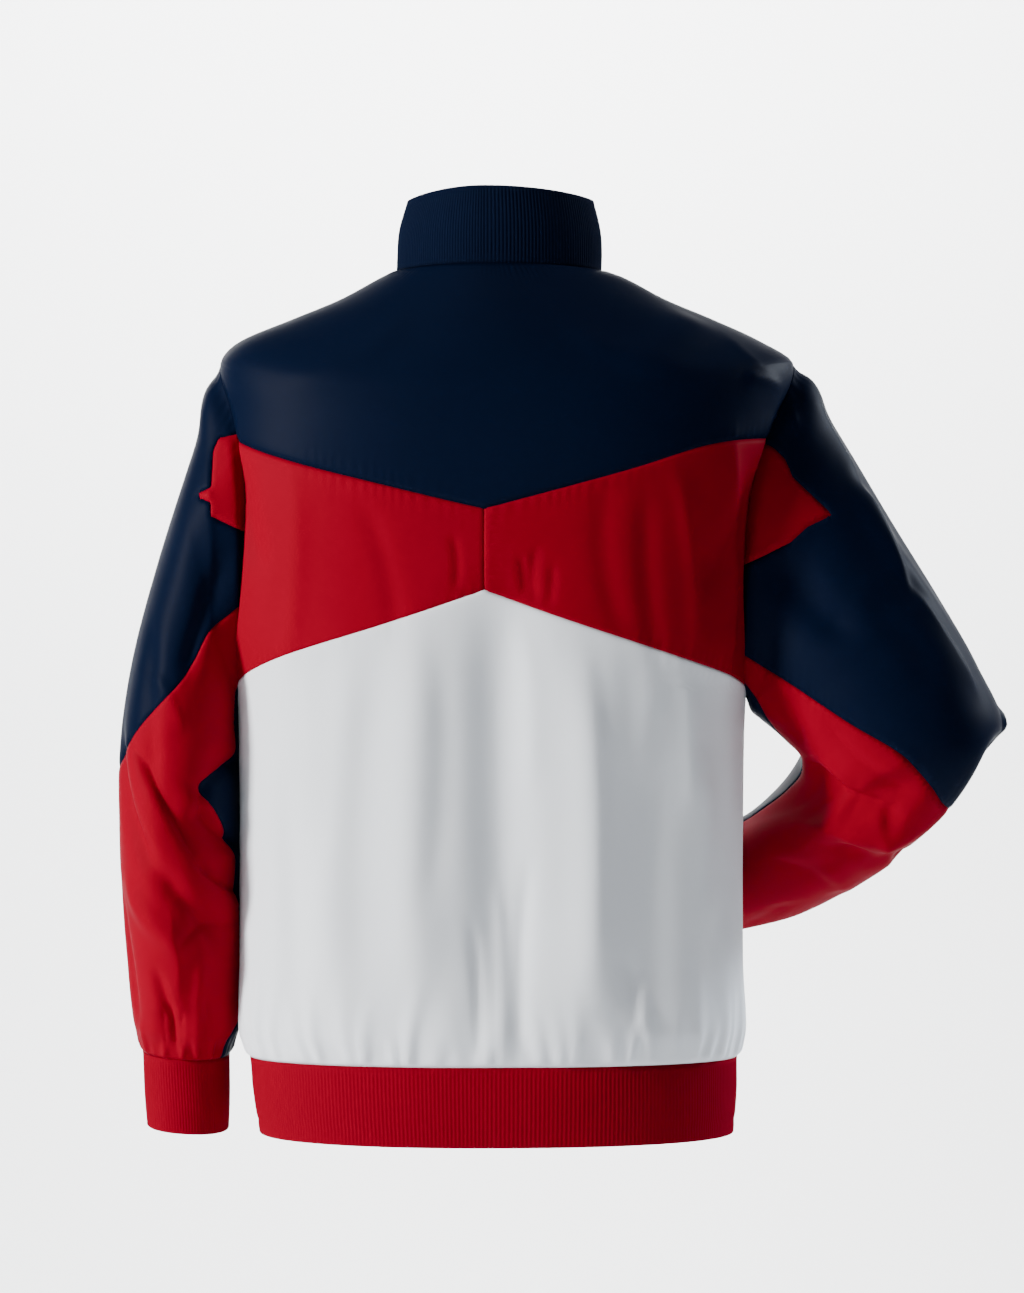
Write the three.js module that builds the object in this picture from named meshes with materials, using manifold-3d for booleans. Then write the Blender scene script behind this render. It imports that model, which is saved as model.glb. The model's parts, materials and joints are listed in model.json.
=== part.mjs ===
// A hip-length windbreaker jacket in navy, red and white blocks, as it hangs when worn:
// the left arm down and the right hand at the hip. Millimetres, +Z up, back towards +Y.
// The origin lies inside the neck, level with the collar seam at the centre of the back.

import * as THREE from 'three';
import { mergeVertices } from 'three/addons/utils/BufferGeometryUtils.js';
import Module from 'manifold-3d';

const wasm = await Module();
wasm.setup();

// Driving sizes
const backLength = 705;          // collar seam to hem, centre back
const ribTop = 641;              // drop at which the body meets the hem rib
const collarHeight = 61;
const shoulderDrop = 105;        // drop of the shoulder point in the section table
const armpitDrop = 340;
const armholeSpread = 27;        // degrees that the armhole opens to each side of the side line
const shellWall = 1.4;
const ribWall = 2.2;
const seamGap = 0.3;

// Zip
const zipHalfGap = 4;            // from the centre line to the edge of each front
const chainHalfWidth = 2.6;
const chainDepth = 0.6;          // the chain lies this far below the fronts' outer face
const chainThickness = 2.4;
const tapeHalfWidth = 15;
const tapeDepth = 2.6;
const tapeThickness = 1;
const sliderHeight = 13;
const sliderWidth = 9;
const coreHalfWidth = 3.6;
const coreThickness = 2.4;
const plateThickness = 1.4;
const boxHeight = 9;
const pullLength = 24;
const pullWidth = 6;
const pullThickness = 1.6;
const pullBar = 1.1;             // radius of the bar that the pull turns on
const cheekWidth = 1.2;
const cheekHeight = 4.4;
const cheekMargin = 0.5;         // the cheeks stand this far past the bar
const pullRise = 1;              // the bar sits this far above the slider's middle
const tabWidth = 4.8;
const fuse = 0.1;                // overlap of the blocks that make up one solid

const toRadians = Math.PI / 180;

// Level sections of the body, by drop below the collar seam. The widths run from the
// centre back line to each side, the depths to back and front, and square is the power
// of the superellipse.
const bodySections = [
  { drop: 0, left: 72, right: 95, back: 52, front: 70, zBack: 0, zSide: -3, zFront: -62, square: 2 },
  { drop: 12, left: 86, right: 114, back: 62, front: 80, zBack: -12, zSide: -10, zFront: -71, square: 2 },
  { drop: 35, left: 117, right: 146, back: 80, front: 95, zBack: -35, zSide: -27, zFront: -92, square: 2 },
  { drop: 65, left: 158, right: 187, back: 99, front: 112, zBack: -65, zSide: -44, zFront: -121, square: 2 },
  { drop: 90, left: 200, right: 226, back: 111, front: 122, zBack: -90, zSide: -62, zFront: -144, square: 2.05 },
  { drop: 105, left: 214, right: 250, back: 116, front: 126, zBack: -105, zSide: -78, zFront: -158, square: 2.15 },
  { drop: 140, left: 212, right: 247, back: 121, front: 130, zBack: -140, zSide: -119, zFront: -190, square: 2.3 },
  { drop: 190, left: 212, right: 236, back: 122, front: 134, zBack: -190, zSide: -176, zFront: -235, square: 2.45 },
  { drop: 250, left: 211, right: 226, back: 120, front: 137, zBack: -250, zSide: -243, zFront: -290, square: 2.5 },
  { drop: 300, left: 208, right: 219, back: 118, front: 139, zBack: -300, zSide: -300, zFront: -336, square: 2.5 },
  { drop: 340, left: 201, right: 211, back: 117, front: 139, zBack: -340, zSide: -344, zFront: -372, square: 2.5 },
  { drop: 450, left: 199, right: 209, back: 114, front: 138, zBack: -450, zSide: -452, zFront: -473, square: 2.5 },
  { drop: 560, left: 199, right: 209, back: 115, front: 137, zBack: -560, zSide: -560, zFront: -573, square: 2.5 },
  { drop: 615, left: 199, right: 210, back: 118, front: 136, zBack: -615, zSide: -614, zFront: -623, square: 2.5 },
  { drop: 641, left: 191, right: 205, back: 112, front: 129, zBack: -641, zSide: -640, zFront: -647, square: 2.45 },
  { drop: 665, left: 188, right: 204, back: 114, front: 130, zBack: -665, zSide: -664, zFront: -668, square: 2.45 },
  { drop: 705, left: 180, right: 200, back: 112, front: 127, zBack: -705, zSide: -702, zFront: -705, square: 2.4 },
];

// Places round an armhole, in degrees from the shoulder point, where the panels' rows
// and the sleeve's columns meet. The band's upper seam reaches it at bandTurn and the
// under-sleeve at underTurn.
const bandTurn = 56;
const underTurn = 148;
const armholeTurns = [0, 19, 38, bandTurn, 80, 104, 127, underTurn, 164, 180];

function armholeDrop(turn) {
  return shoulderDrop + (armpitDrop - shoulderDrop) * (1 - Math.cos(turn * toRadians)) / 2;
}

// The two seams of the chest band on each side: how far down they lie, from the centre
// line (0), where both sides meet in a sharp point, to the armhole (1).
const bandSeams = {
  left: [
    { across: 0, upper: 200, lower: 264 },
    { across: 0.44, upper: 178, lower: 301 },
    { across: 1, upper: armholeDrop(bandTurn), lower: armpitDrop },
  ],
  right: [
    { across: 0, upper: 200, lower: 264 },
    { across: 0.42, upper: 172, lower: 303 },
    { across: 0.66, upper: 157, lower: 322 },
    { across: 1, upper: armholeDrop(bandTurn), lower: armpitDrop },
  ],
};

// Collar rings by height above the neck seam
const collarSections = [
  { height: 0, left: 72, right: 95, back: 52, front: 70, zBack: 0, zSide: -3, zFront: -62 },
  { height: 30, left: 70, right: 94, back: 52, front: 70, zBack: 31, zSide: 27, zFront: -33 },
  { height: 61, left: 63, right: 89, back: 50, front: 67, zBack: 62, zSide: 54, zFront: -4 },
];

// Sleeve stations: the points of the outer and the inner line, the sleeve's middle in
// depth and half its depth. The armhole itself is station 0.
const leftSleeveStations = [
  { along: 45, outX: 238, outZ: -154, inX: 204, inZ: -353, midY: 0, deep: 63 },
  { along: 95, outX: 265, outZ: -238, inX: 205, inZ: -374, midY: 0, deep: 72 },
  { along: 150, outX: 286, outZ: -319, inX: 205, inZ: -405, midY: 1, deep: 79 },
  { along: 205, outX: 296, outZ: -392, inX: 204, inZ: -446, midY: 1, deep: 81 },
  { along: 255, outX: 296, outZ: -450, inX: 204, inZ: -487, midY: -1, deep: 79 },
  { along: 305, outX: 294, outZ: -504, inX: 204, inZ: -527, midY: -5, deep: 74 },
  { along: 355, outX: 290, outZ: -558, inX: 204, inZ: -572, midY: -11, deep: 67 },
  { along: 405, outX: 286, outZ: -610, inX: 204, inZ: -617, midY: -18, deep: 57 },
  { along: 431, outX: 280, outZ: -637, inX: 209, inZ: -641, midY: -21, deep: 42 },
  { along: 496, outX: 277, outZ: -699, inX: 210, inZ: -703, midY: -27, deep: 38 },
];
const rightSleeveStations = [
  { along: 45, outX: -288, outZ: -138, inX: -216, inZ: -360, midY: 0, deep: 64 },
  { along: 95, outX: -329, outZ: -206, inX: -224, inZ: -367, midY: 2, deep: 71 },
  { along: 150, outX: -369, outZ: -271, inX: -236, inZ: -376, midY: 6, deep: 76 },
  { along: 200, outX: -399, outZ: -325, inX: -247, inZ: -386, midY: 11, deep: 78 },
  { along: 245, outX: -418, outZ: -372, inX: -257, inZ: -397, midY: 12, deep: 76 },
  { along: 285, outX: -397, outZ: -411, inX: -258, inZ: -410, midY: -2, deep: 72 },
  { along: 330, outX: -362, outZ: -456, inX: -249, inZ: -422, midY: -30, deep: 65 },
  { along: 375, outX: -322, outZ: -500, inX: -235, inZ: -435, midY: -65, deep: 57 },
  { along: 415, outX: -276, outZ: -529, inX: -218, inZ: -450, midY: -103, deep: 50 },
  { along: 450, outX: -228, outZ: -545, inX: -195, inZ: -465, midY: -138, deep: 44 },
  { along: 472, outX: -199, outZ: -549, inX: -177, inZ: -479, midY: -160, deep: 37 },
  { along: 537, outX: -148, outZ: -570, inX: -126, inZ: -505, midY: -196, deep: 34 },
];
const leftCuffTop = 431;
const leftCuffEnd = 496;
const rightCuffTop = 472;
const rightCuffEnd = 537;
const sleeveSquare = 2.2;

// The slanted seam between each sleeve's navy top and red lower part, seen from behind
const slabSize = 1200;           // larger than the garment
const leftSlant = { x: 198, z: -281, slope: -1.13 };
const rightSlant = { x: -218, z: -329, slope: 0.575 };

// How many degrees the under-sleeve's back seam has turned towards the front, by
// distance from the armhole
const leftTwist = [
  { along: 0, turn: 0 },
  { along: 120, turn: 2 },
  { along: 250, turn: -3 },
  { along: 325, turn: 14 },
  { along: 400, turn: 4 },
  { along: 496, turn: 0 },
];
const rightTwist = [
  { along: 0, turn: 0 },
  { along: 70, turn: 6 },
  { along: 160, turn: 27 },
  { along: 260, turn: 32 },
  { along: 360, turn: 24 },
  { along: 537, turn: 0 },
];

// The red point that carries the chest band on over each sleeve's back
const leftPoint = [
  { x: 180, z: -134 },
  { x: 213.6, z: -141 },
  { x: 218, z: -151 },
  { x: 219, z: -181 },
  { x: 232, z: -187 },
  { x: 219, z: -193.5 },
  { x: 219, z: -204 },
  { x: 180, z: -223 },
];
const rightPoint = [
  { x: -195, z: -133 },
  { x: -231, z: -148 },
  { x: -241, z: -158 },
  { x: -247, z: -173 },
  { x: -279, z: -203 },
  { x: -258, z: -213 },
  { x: -245, z: -225 },
  { x: -195, z: -250 },
];
const pointReach = 170;          // the outline runs from here at the back
const pointDepth = 160;

// Large folds of the body. turn is in degrees from the centre back towards the left
// side, drop as above; depth is out of the cloth, so a trough is below zero.
const bodyFolds = [
  { turn: 2, from: 285, toTurn: 0, to: 610, width: 17, depth: -5 },
  { turn: -17, from: 345, toTurn: -20, to: 600, width: 16, depth: 5 },
  { turn: 27, from: 320, toTurn: 30, to: 580, width: 26, depth: 5 },
  { turn: -36, from: 390, toTurn: -33, to: 610, width: 20, depth: -5 },
  { turn: -51, from: 400, toTurn: -53, to: 540, width: 14, depth: 4 },
  { turn: 49, from: 420, toTurn: 46, to: 620, width: 18, depth: -4 },
  { turn: -68, from: 60, toTurn: -30, to: 92, width: 13, depth: 3 },
  { turn: 62, from: 175, toTurn: 52, to: 250, width: 13, depth: -4 },
  { turn: -60, from: 180, toTurn: -48, to: 262, width: 13, depth: -4 },
  { turn: 158, from: 300, toTurn: 160, to: 600, width: 18, depth: -5 },
  { turn: 138, from: 360, toTurn: 134, to: 590, width: 22, depth: 5 },
  { turn: 118, from: 210, toTurn: 130, to: 300, width: 14, depth: -4 },
  { turn: -156, from: 330, toTurn: -159, to: 610, width: 17, depth: -5 },
  { turn: -136, from: 340, toTurn: -132, to: 570, width: 22, depth: 5 },
  { turn: -118, from: 200, toTurn: -131, to: 290, width: 14, depth: -4 },
];
const bodyArc = 3.1;             // millimetres of cloth in one degree of turn
const foldOverrun = 0.15;        // a fold fades beyond its ends by this share of its length
const foldFade = 0.4;

// Large folds of the sleeves. turn is in degrees from the outer line over the back.
const leftSleeveFolds = [
  { turn: -45, from: 17, toTurn: 45, to: 17, width: 12, depth: 6 },
  { turn: 98, from: 22, toTurn: 88, to: 120, width: 11, depth: -6 },
  { turn: 20, from: 196, toTurn: 78, to: 275, width: 12, depth: -7 },
  { turn: 78, from: 275, toTurn: 140, to: 322, width: 12, depth: -6 },
  { turn: 40, from: 292, toTurn: 104, to: 330, width: 12, depth: 5 },
  { turn: -98, from: 30, toTurn: -88, to: 120, width: 12, depth: -5 },
  { turn: -38, from: 232, toTurn: -120, to: 300, width: 13, depth: -6 },
  { turn: 70, from: 352, toTurn: 84, to: 412, width: 9, depth: -4 },
];
const rightSleeveFolds = [
  { turn: -45, from: 17, toTurn: 45, to: 17, width: 12, depth: 6 },
  { turn: 96, from: 20, toTurn: 84, to: 130, width: 11, depth: -6 },
  { turn: 34, from: 60, toTurn: 30, to: 170, width: 11, depth: 4 },
  { turn: 132, from: 266, toTurn: 84, to: 262, width: 10, depth: -6 },
  { turn: 128, from: 288, toTurn: 66, to: 300, width: 11, depth: 5 },
  { turn: 112, from: 316, toTurn: 52, to: 330, width: 10, depth: -5 },
  { turn: -114, from: 268, toTurn: -60, to: 250, width: 12, depth: -5 },
  { turn: -98, from: 34, toTurn: -84, to: 130, width: 12, depth: -5 },
  { turn: 20, from: 250, toTurn: 36, to: 312, width: 18, depth: -18 },
  { turn: 30, from: 300, toTurn: 40, to: 336, width: 14, depth: -7 },
];
const sleeveArc = 1.2;

// Gathers: how many lie round a rib, their height and how far up they reach. Their
// spacing and their height vary in so many waves round the rib.
const hemGathers = { count: 34, height: 3.2, reach: 95, waves: 3 };
const cuffGathers = { count: 11, height: 2.4, reach: 60, waves: 2 };
const gatherStart = 10;          // gathers reach their full height this far above the rib
const zipClear = 5;              // degrees beside the centre front that have no gathers
const zipFade = 6;

// Distances over which folds fade towards a sleeve's ends
const armholeFade = 14;
const cuffFade = 16;
const mitreReach = 25;

const colours = { navy: 0x0d1b36, red: 0xbb0a26, white: 0xd9dee4, metal: 0x8f9296, teeth: 0x15233f };

function cloth(colour, roughness = 0.6) {
  return new THREE.MeshStandardMaterial({ color: colour, roughness, metalness: 0 });
}

const materials = {
  navy: cloth(colours.navy),
  red: cloth(colours.red),
  white: cloth(colours.white),
  navyRib: cloth(colours.navy, 0.9),
  redRib: cloth(colours.red, 0.9),
  tape: cloth(colours.navy, 0.8),
  teeth: cloth(colours.teeth, 0.4),
  metal: new THREE.MeshStandardMaterial({ color: colours.metal, roughness: 0.35, metalness: 1 }),
};

// A smooth curve through one column of a table
function between(table, place, column, at) {
  const last = table.length - 1;
  let i = 0;
  while (i < last - 1 && at > table[i + 1][place]) {
    i += 1;
  }
  const slope = (k) => {
    const a = table[Math.max(k - 1, 0)];
    const b = table[Math.min(k + 1, last)];
    return (b[column] - a[column]) / (b[place] - a[place]);
  };
  const span = table[i + 1][place] - table[i][place];
  const f = Math.min(Math.max((at - table[i][place]) / span, 0), 1);
  const start = (1 + 2 * f) * (1 - f) * (1 - f) * table[i][column];
  const end = f * f * (3 - 2 * f) * table[i + 1][column];
  const bend = f * (1 - f) * span * ((1 - f) * slope(i) - f * slope(i + 1));
  return start + end + bend;
}

function superRing(angle, power) {
  const s = Math.sin(angle);
  const c = Math.cos(angle);
  const grow = (Math.abs(s) ** power + Math.abs(c) ** power) ** (-1 / power);
  return { side: s * grow, depth: c * grow };
}

// A point on a ring of the body or collar, turn degrees from the centre back
function ringPoint(turn, read, power) {
  const ring = superRing(turn * toRadians, power);
  const wide = ring.side > 0 ? read('left') : read('right');
  const deep = ring.depth > 0 ? read('back') : read('front');
  const far = ring.depth > 0 ? read('zBack') : read('zFront');
  const middle = Math.cos(turn * toRadians) ** 2;
  const z = read('zSide') + (far - read('zSide')) * middle;
  return new THREE.Vector3(ring.side * wide, ring.depth * deep, z);
}

function bodyNominal(turn, drop) {
  const read = (column) => between(bodySections, 'drop', column, drop);
  return ringPoint(turn, read, read('square'));
}

function collarNominal(turn, height) {
  const read = (column) => between(collarSections, 'height', column, height);
  const point = ringPoint(turn, read, 2);
  point.z += seamGap;
  return point;
}

function smoothStep(x) {
  const f = Math.min(Math.max(x, 0), 1);
  return f * f * (3 - 2 * f);
}

// How far a table of folds lifts the cloth at one place
function foldHeight(folds, arc, turn, down) {
  let lift = 0;
  for (const fold of folds) {
    const startX = fold.turn * arc;
    const alongX = fold.toTurn * arc - startX;
    const alongY = fold.to - fold.from;
    const length = Math.hypot(alongX, alongY);
    const x = turn * arc - startX;
    const y = down - fold.from;
    const f = (x * alongX + y * alongY) / (length * length);
    const away = (x * alongY - y * alongX) / length;
    const ends = smoothStep((f + foldOverrun) / foldFade) * smoothStep((1 + foldOverrun - f) / foldFade);
    lift += fold.depth * ends * Math.exp(-((away / fold.width) ** 2));
  }
  return lift;
}

// Gathers rise just above a rib and fade with distance from it
function gatherHeight(gathers, turn, above) {
  if (above <= 0 || above >= gathers.reach) {
    return 0;
  }
  const angle = turn * toRadians;
  const wander = 0.9 * Math.sin(gathers.waves * angle) + 0.6 * Math.sin((gathers.waves + 2) * angle + 1);
  const wave = Math.cos(gathers.count * angle + wander);
  const strength = 0.65 + 0.35 * Math.sin((gathers.waves + 1) * angle + 2);
  const fade = smoothStep(above / gatherStart) * (1 - smoothStep(above / gathers.reach));
  return gathers.height * strength * wave * fade;
}

// The outward unit normal of a surface given by two parameters
function normalOf(surface, u, v, stepU, stepV) {
  const alongU = surface(u + stepU, v).sub(surface(u - stepU, v));
  const alongV = surface(u, v + stepV).sub(surface(u, v - stepV));
  return alongU.cross(alongV).normalize();
}

// A turn as the fold tables give it, from -180 to 180
function wrap(turn) {
  return turn > 180 ? turn - 360 : turn;
}

// The body's outer face and its normal, with folds and gathers
function bodyFace(turn, drop) {
  const near = Math.min(Math.max(drop, 2), backLength - 2);
  const normal = normalOf(bodyNominal, turn, near, 0.5, 2);
  const wrapped = wrap(turn);
  const clearOfZip = smoothStep((180 - Math.abs(wrapped) - zipClear) / zipFade);
  const gathered = gatherHeight(hemGathers, turn, ribTop - drop) * clearOfZip;
  const lift = foldHeight(bodyFolds, bodyArc, wrapped, drop) + gathered;
  return { point: bodyNominal(turn, drop).addScaledVector(normal, lift), normal };
}

function collarFace(turn, height) {
  const near = Math.min(Math.max(height, 2), collarHeight - 2);
  const normal = normalOf(collarNominal, turn, near, 0.5, 2).negate();
  return { point: collarNominal(turn, height), normal };
}

function pushed(face, distance) {
  return face.point.clone().addScaledVector(face.normal, distance);
}

// A closed wall over a grid. face(a, b) gives the outer face for a across and b down,
// both from 0 to 1; the wall lies between two depths below that face.
function wall(face, acrossSteps, downSteps, outerDepth, innerDepth, closed = false) {
  const perRow = closed ? acrossSteps.length - 1 : acrossSteps.length;
  const rows = downSteps.length;
  const positions = [];
  for (const depth of [outerDepth, innerDepth]) {
    for (const b of downSteps) {
      for (let i = 0; i < perRow; i += 1) {
        pushed(face(acrossSteps[i], b), -depth).toArray(positions, positions.length);
      }
    }
  }
  const layer = perRow * rows;
  const at = (depth, i, j) => depth * layer + j * perRow + (closed ? i % perRow : i);
  const triangles = [];
  const quad = (a, b, c, d) => triangles.push(a, b, c, a, c, d);
  const columns = acrossSteps.length - 1;
  for (let j = 0; j < rows - 1; j += 1) {
    for (let i = 0; i < columns; i += 1) {
      quad(at(0, i, j), at(0, i, j + 1), at(0, i + 1, j + 1), at(0, i + 1, j));
      quad(at(1, i, j), at(1, i + 1, j), at(1, i + 1, j + 1), at(1, i, j + 1));
    }
  }
  for (let i = 0; i < columns; i += 1) {
    quad(at(0, i, 0), at(0, i + 1, 0), at(1, i + 1, 0), at(1, i, 0));
    quad(at(0, i, rows - 1), at(1, i, rows - 1), at(1, i + 1, rows - 1), at(0, i + 1, rows - 1));
  }
  for (let j = 0; j < rows - 1 && !closed; j += 1) {
    quad(at(0, 0, j), at(1, 0, j), at(1, 0, j + 1), at(0, 0, j + 1));
    quad(at(0, columns, j), at(0, columns, j + 1), at(1, columns, j + 1), at(1, columns, j));
  }
  return facingOut(positions, triangles);
}

// Turns every face over where the solid came out inside out
function facingOut(positions, triangles) {
  const corner = (k) => new THREE.Vector3().fromArray(positions, 3 * triangles[k]);
  let volume = 0;
  for (let k = 0; k < triangles.length; k += 3) {
    volume += corner(k).dot(corner(k + 1).cross(corner(k + 2)));
  }
  if (volume < 0) {
    triangles.reverse();
  }
  const geometry = new THREE.BufferGeometry();
  geometry.setAttribute('position', new THREE.Float32BufferAttribute(positions, 3));
  geometry.setIndex(triangles);
  return geometry;
}

function steps(count, bend = (f) => f) {
  return Array.from({ length: count + 1 }, (_, i) => bend(i / count));
}

function solidOf(geometry) {
  const bare = geometry.clone();
  bare.deleteAttribute('normal');
  bare.deleteAttribute('uv');
  const merged = mergeVertices(bare, 1e-4);
  const vertProperties = new Float32Array(merged.attributes.position.array);
  const triVerts = new Uint32Array(merged.index.array);
  return new wasm.Manifold(new wasm.Mesh({ numProp: 3, vertProperties, triVerts }));
}

// The largest piece of a cut solid, as a geometry
function geometryOf(solid) {
  const pieces = solid.decompose().sort((a, b) => b.volume() - a.volume());
  const mesh = pieces[0].getMesh();
  const geometry = new THREE.BufferGeometry();
  geometry.setAttribute('position', new THREE.Float32BufferAttribute(mesh.vertProperties, 3));
  geometry.setIndex(Array.from(mesh.triVerts));
  return mergeVertices(geometry, 1e-3);
}

const group = new THREE.Group();

function addPiece(name, geometry, material) {
  const mesh = new THREE.Mesh(geometry, material);
  mesh.name = name;
  group.add(mesh);
  return mesh;
}

// Degrees from the centre back (or front) line to the side edge of a body panel, which
// is the shoulder or side seam, and in between the edge of the armhole
const seamTurn = 90 - seamGap / 2 / bodyArc;
function sideEdge(drop) {
  const f = (drop - shoulderDrop) / (armpitDrop - shoulderDrop);
  if (f <= 0 || f >= 1) {
    return seamTurn;
  }
  return seamTurn - armholeSpread * Math.sqrt(1 - (1 - 2 * f) ** 2);
}

// Degrees from the centre front line to a place beside it. A level is a drop down the
// body, or below zero a height up the collar.
function zipEdge(side, level, distance) {
  const column = side > 0 ? 'left' : 'right';
  const wide = level < 0
    ? between(collarSections, 'height', column, -level)
    : between(bodySections, 'drop', column, level);
  return Math.asin(distance / wide) / toRadians;
}

function bandUpper(across) {
  return between(across > 0 ? bandSeams.left : bandSeams.right, 'across', 'upper', Math.abs(across));
}

function bandLower(across) {
  return between(across > 0 ? bandSeams.left : bandSeams.right, 'across', 'lower', Math.abs(across));
}

// A back panel: across runs from the right edge (-1) to the left edge (1). Its top and
// bottom edges keep half a seam gap clear of the seam lines.
function backFace(top, bottom, from, to) {
  return (a, b) => {
    const across = from + (to - from) * a;
    const drop = top(across) + (bottom(across) - top(across)) * b;
    // A panel that ends on the centre line keeps half a seam gap clear of it
    const endsAtCentre = from * to === 0;
    const shift = endsAtCentre ? Math.sign(from + to) * (1 - Math.abs(across)) * half / bodyArc : 0;
    return bodyFace(across * sideEdge(drop) + shift, drop + half * (1 - 2 * b));
  };
}

// A front panel, from its side edge to the zip; side is 1 for the left, -1 for the right
function frontFace(side, top, bottom) {
  return (a, b) => {
    const across = side * (1 - a);
    const drop = top(across) + (bottom(across) - top(across)) * b;
    const fromCentre = zipEdge(side, drop, zipHalfGap) * a + sideEdge(drop) * (1 - a);
    return bodyFace(side * (180 - fromCentre), drop + half * (1 - 2 * b));
  };
}

const half = seamGap / 2;
const atNeck = () => 0;
const atRib = () => ribTop;

// Rows of the yoke and the band, so that each ends on a place round the armhole
const yokeSide = armholeDrop(bandTurn);
const yokeRows = [
  ...steps(4).slice(0, -1).map((f) => f * shoulderDrop / yokeSide),
  ...armholeTurns.filter((turn) => turn <= bandTurn).map((turn) => armholeDrop(turn) / yokeSide),
];
const bandRows = armholeTurns.filter((turn) => turn >= bandTurn)
  .map((turn) => (armholeDrop(turn) - yokeSide) / (armpitDrop - yokeSide));
const ribRows = 2;
const collarRows = 3;
const sleeveRowCount = 17;
const lowerRows = [0, 0.2, 0.4, 0.6, 0.74, 0.84, 0.91, 0.96, 1];

// Columns of half the back, and of one front; a gathered panel has gatherColumns for each
const halfColumns = 9;
const gatherColumns = 3;

// Gives a gathered panel's top and bottom edge the straight stretches of its neighbours
function matched(face, columns) {
  return (a, b) => {
    if (b > 0 && b < 1) {
      return face(a, b);
    }
    const i = Math.min(Math.floor(a * columns + 1e-9), columns - 1);
    const f = a * columns - i;
    const start = face(i / columns, b);
    const end = face((i + 1) / columns, b);
    return { point: start.point.lerp(end.point, f), normal: start.normal.lerp(end.normal, f).normalize() };
  };
}

function shell(face, columns, rows) {
  return wall(face, steps(columns), rows, 0, shellWall);
}

function buildBack() {
  addPiece('back_yoke', shell(backFace(atNeck, bandUpper, -1, 1), 2 * halfColumns, yokeRows), materials.navy);
  addPiece('back_band_left', shell(backFace(bandUpper, bandLower, 0, 1), halfColumns, bandRows),
    materials.red);
  addPiece('back_band_right', shell(backFace(bandUpper, bandLower, -1, 0), halfColumns, bandRows),
    materials.red);
  const lower = matched(backFace(bandLower, atRib, -1, 1), 2 * halfColumns);
  addPiece('back_lower', shell(lower, 2 * halfColumns * gatherColumns, lowerRows), materials.white);
}

function buildFronts() {
  for (const [name, side] of [['left', 1], ['right', -1]]) {
    addPiece(`front_yoke_${name}`, shell(frontFace(side, atNeck, bandUpper), halfColumns, yokeRows),
      materials.navy);
    addPiece(`front_band_${name}`, shell(frontFace(side, bandUpper, bandLower), halfColumns, bandRows),
      materials.red);
    const lower = matched(frontFace(side, bandLower, atRib), halfColumns);
    addPiece(`front_lower_${name}`, shell(lower, halfColumns * gatherColumns, lowerRows), materials.white);
  }
}

// The hem rib and the collar each run round the back from one zip edge to the other.
// Their columns count from the right zip edge and meet those of the panels.
const roundColumns = Array.from({ length: 4 * halfColumns + 1 }, (_, k) => k - 2 * halfColumns);

function roundTurn(column, level) {
  const side = Math.sign(column);
  const share = Math.abs(column) / halfColumns - 1;
  if (share <= 0) {
    return column / halfColumns * 90;
  }
  return side * (180 - zipEdge(side, level, zipHalfGap) * share - 90 * (1 - share));
}

function buildRibs() {
  const hemFace = (column, b) => {
    const drop = ribTop + half + (backLength - ribTop - half) * b;
    return bodyFace(roundTurn(column, drop), drop);
  };
  addPiece('hem_rib', wall(hemFace, roundColumns, steps(ribRows), 0, ribWall), materials.redRib);
  const collarSheet = (column, b) => collarFace(roundTurn(column, -b * collarHeight), b * collarHeight);
  addPiece('collar', wall(collarSheet, roundColumns, steps(collarRows), 0, ribWall), materials.navyRib);
}

// The face of the centre front, from the collar's top edge (level below zero) to the hem
function frontLine(offset, level) {
  const side = offset < 0 ? -1 : 1;
  const turn = 180 - side * zipEdge(side, level, Math.abs(offset));
  if (level < 0) {
    return collarFace(turn, -level);
  }
  const face = bodyFace(turn, level);
  if (level === 0) {
    // A mitre between the collar and the sloping chest
    const other = collarFace(turn, 0).normal;
    const stretch = 1 / (1 + face.normal.dot(other));
    face.normal.add(other).multiplyScalar(stretch);
  }
  return face;
}

// Levels down the centre front where the collar and the panels have their rows
function frontLevels(top, bottom) {
  const inner = [
    ...steps(collarRows).map((f) => (f - 1) * collarHeight),
    ...yokeRows.slice(1).map((f) => f * bandUpper(0)),
    ...bandRows.slice(1).map((f) => bandUpper(0) + f * (bandLower(0) - bandUpper(0))),
    ...lowerRows.slice(1).map((f) => bandLower(0) + f * (ribTop - bandLower(0))),
    ...steps(ribRows).slice(1).map((f) => ribTop + f * (backLength - ribTop)),
  ];
  return [top, ...inner.filter((level) => level > top + 1 && level < bottom - 1), bottom];
}

function frontStrip(from, to, top, bottom, depth, thickness) {
  return wall(frontLine, [from, to], frontLevels(top, bottom), depth, depth + thickness);
}

function buildZip() {
  const top = seamGap - collarHeight;
  for (const [name, side] of [['left', 1], ['right', -1]]) {
    const inner = side * (chainHalfWidth + seamGap);
    const outer = side * tapeHalfWidth;
    const strip = frontStrip(inner, outer, top, backLength - seamGap, tapeDepth, tapeThickness);
    addPiece(`zip_tape_${name}`, strip, materials.tape);
  }
  const chainTop = sliderHeight + seamGap - collarHeight;
  const chainEnd = backLength - boxHeight - seamGap;
  const sides = [-chainHalfWidth, chainHalfWidth];
  const chain = frontStrip(...sides, chainTop, chainEnd, chainDepth, chainThickness);
  addPiece('zip_chain', chain, materials.teeth);
  buildZipEnds();
}

function block(width, depth, height, x, y, z) {
  return solidOf(new THREE.BoxGeometry(width, depth, height).translate(x, y, z));
}

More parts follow.
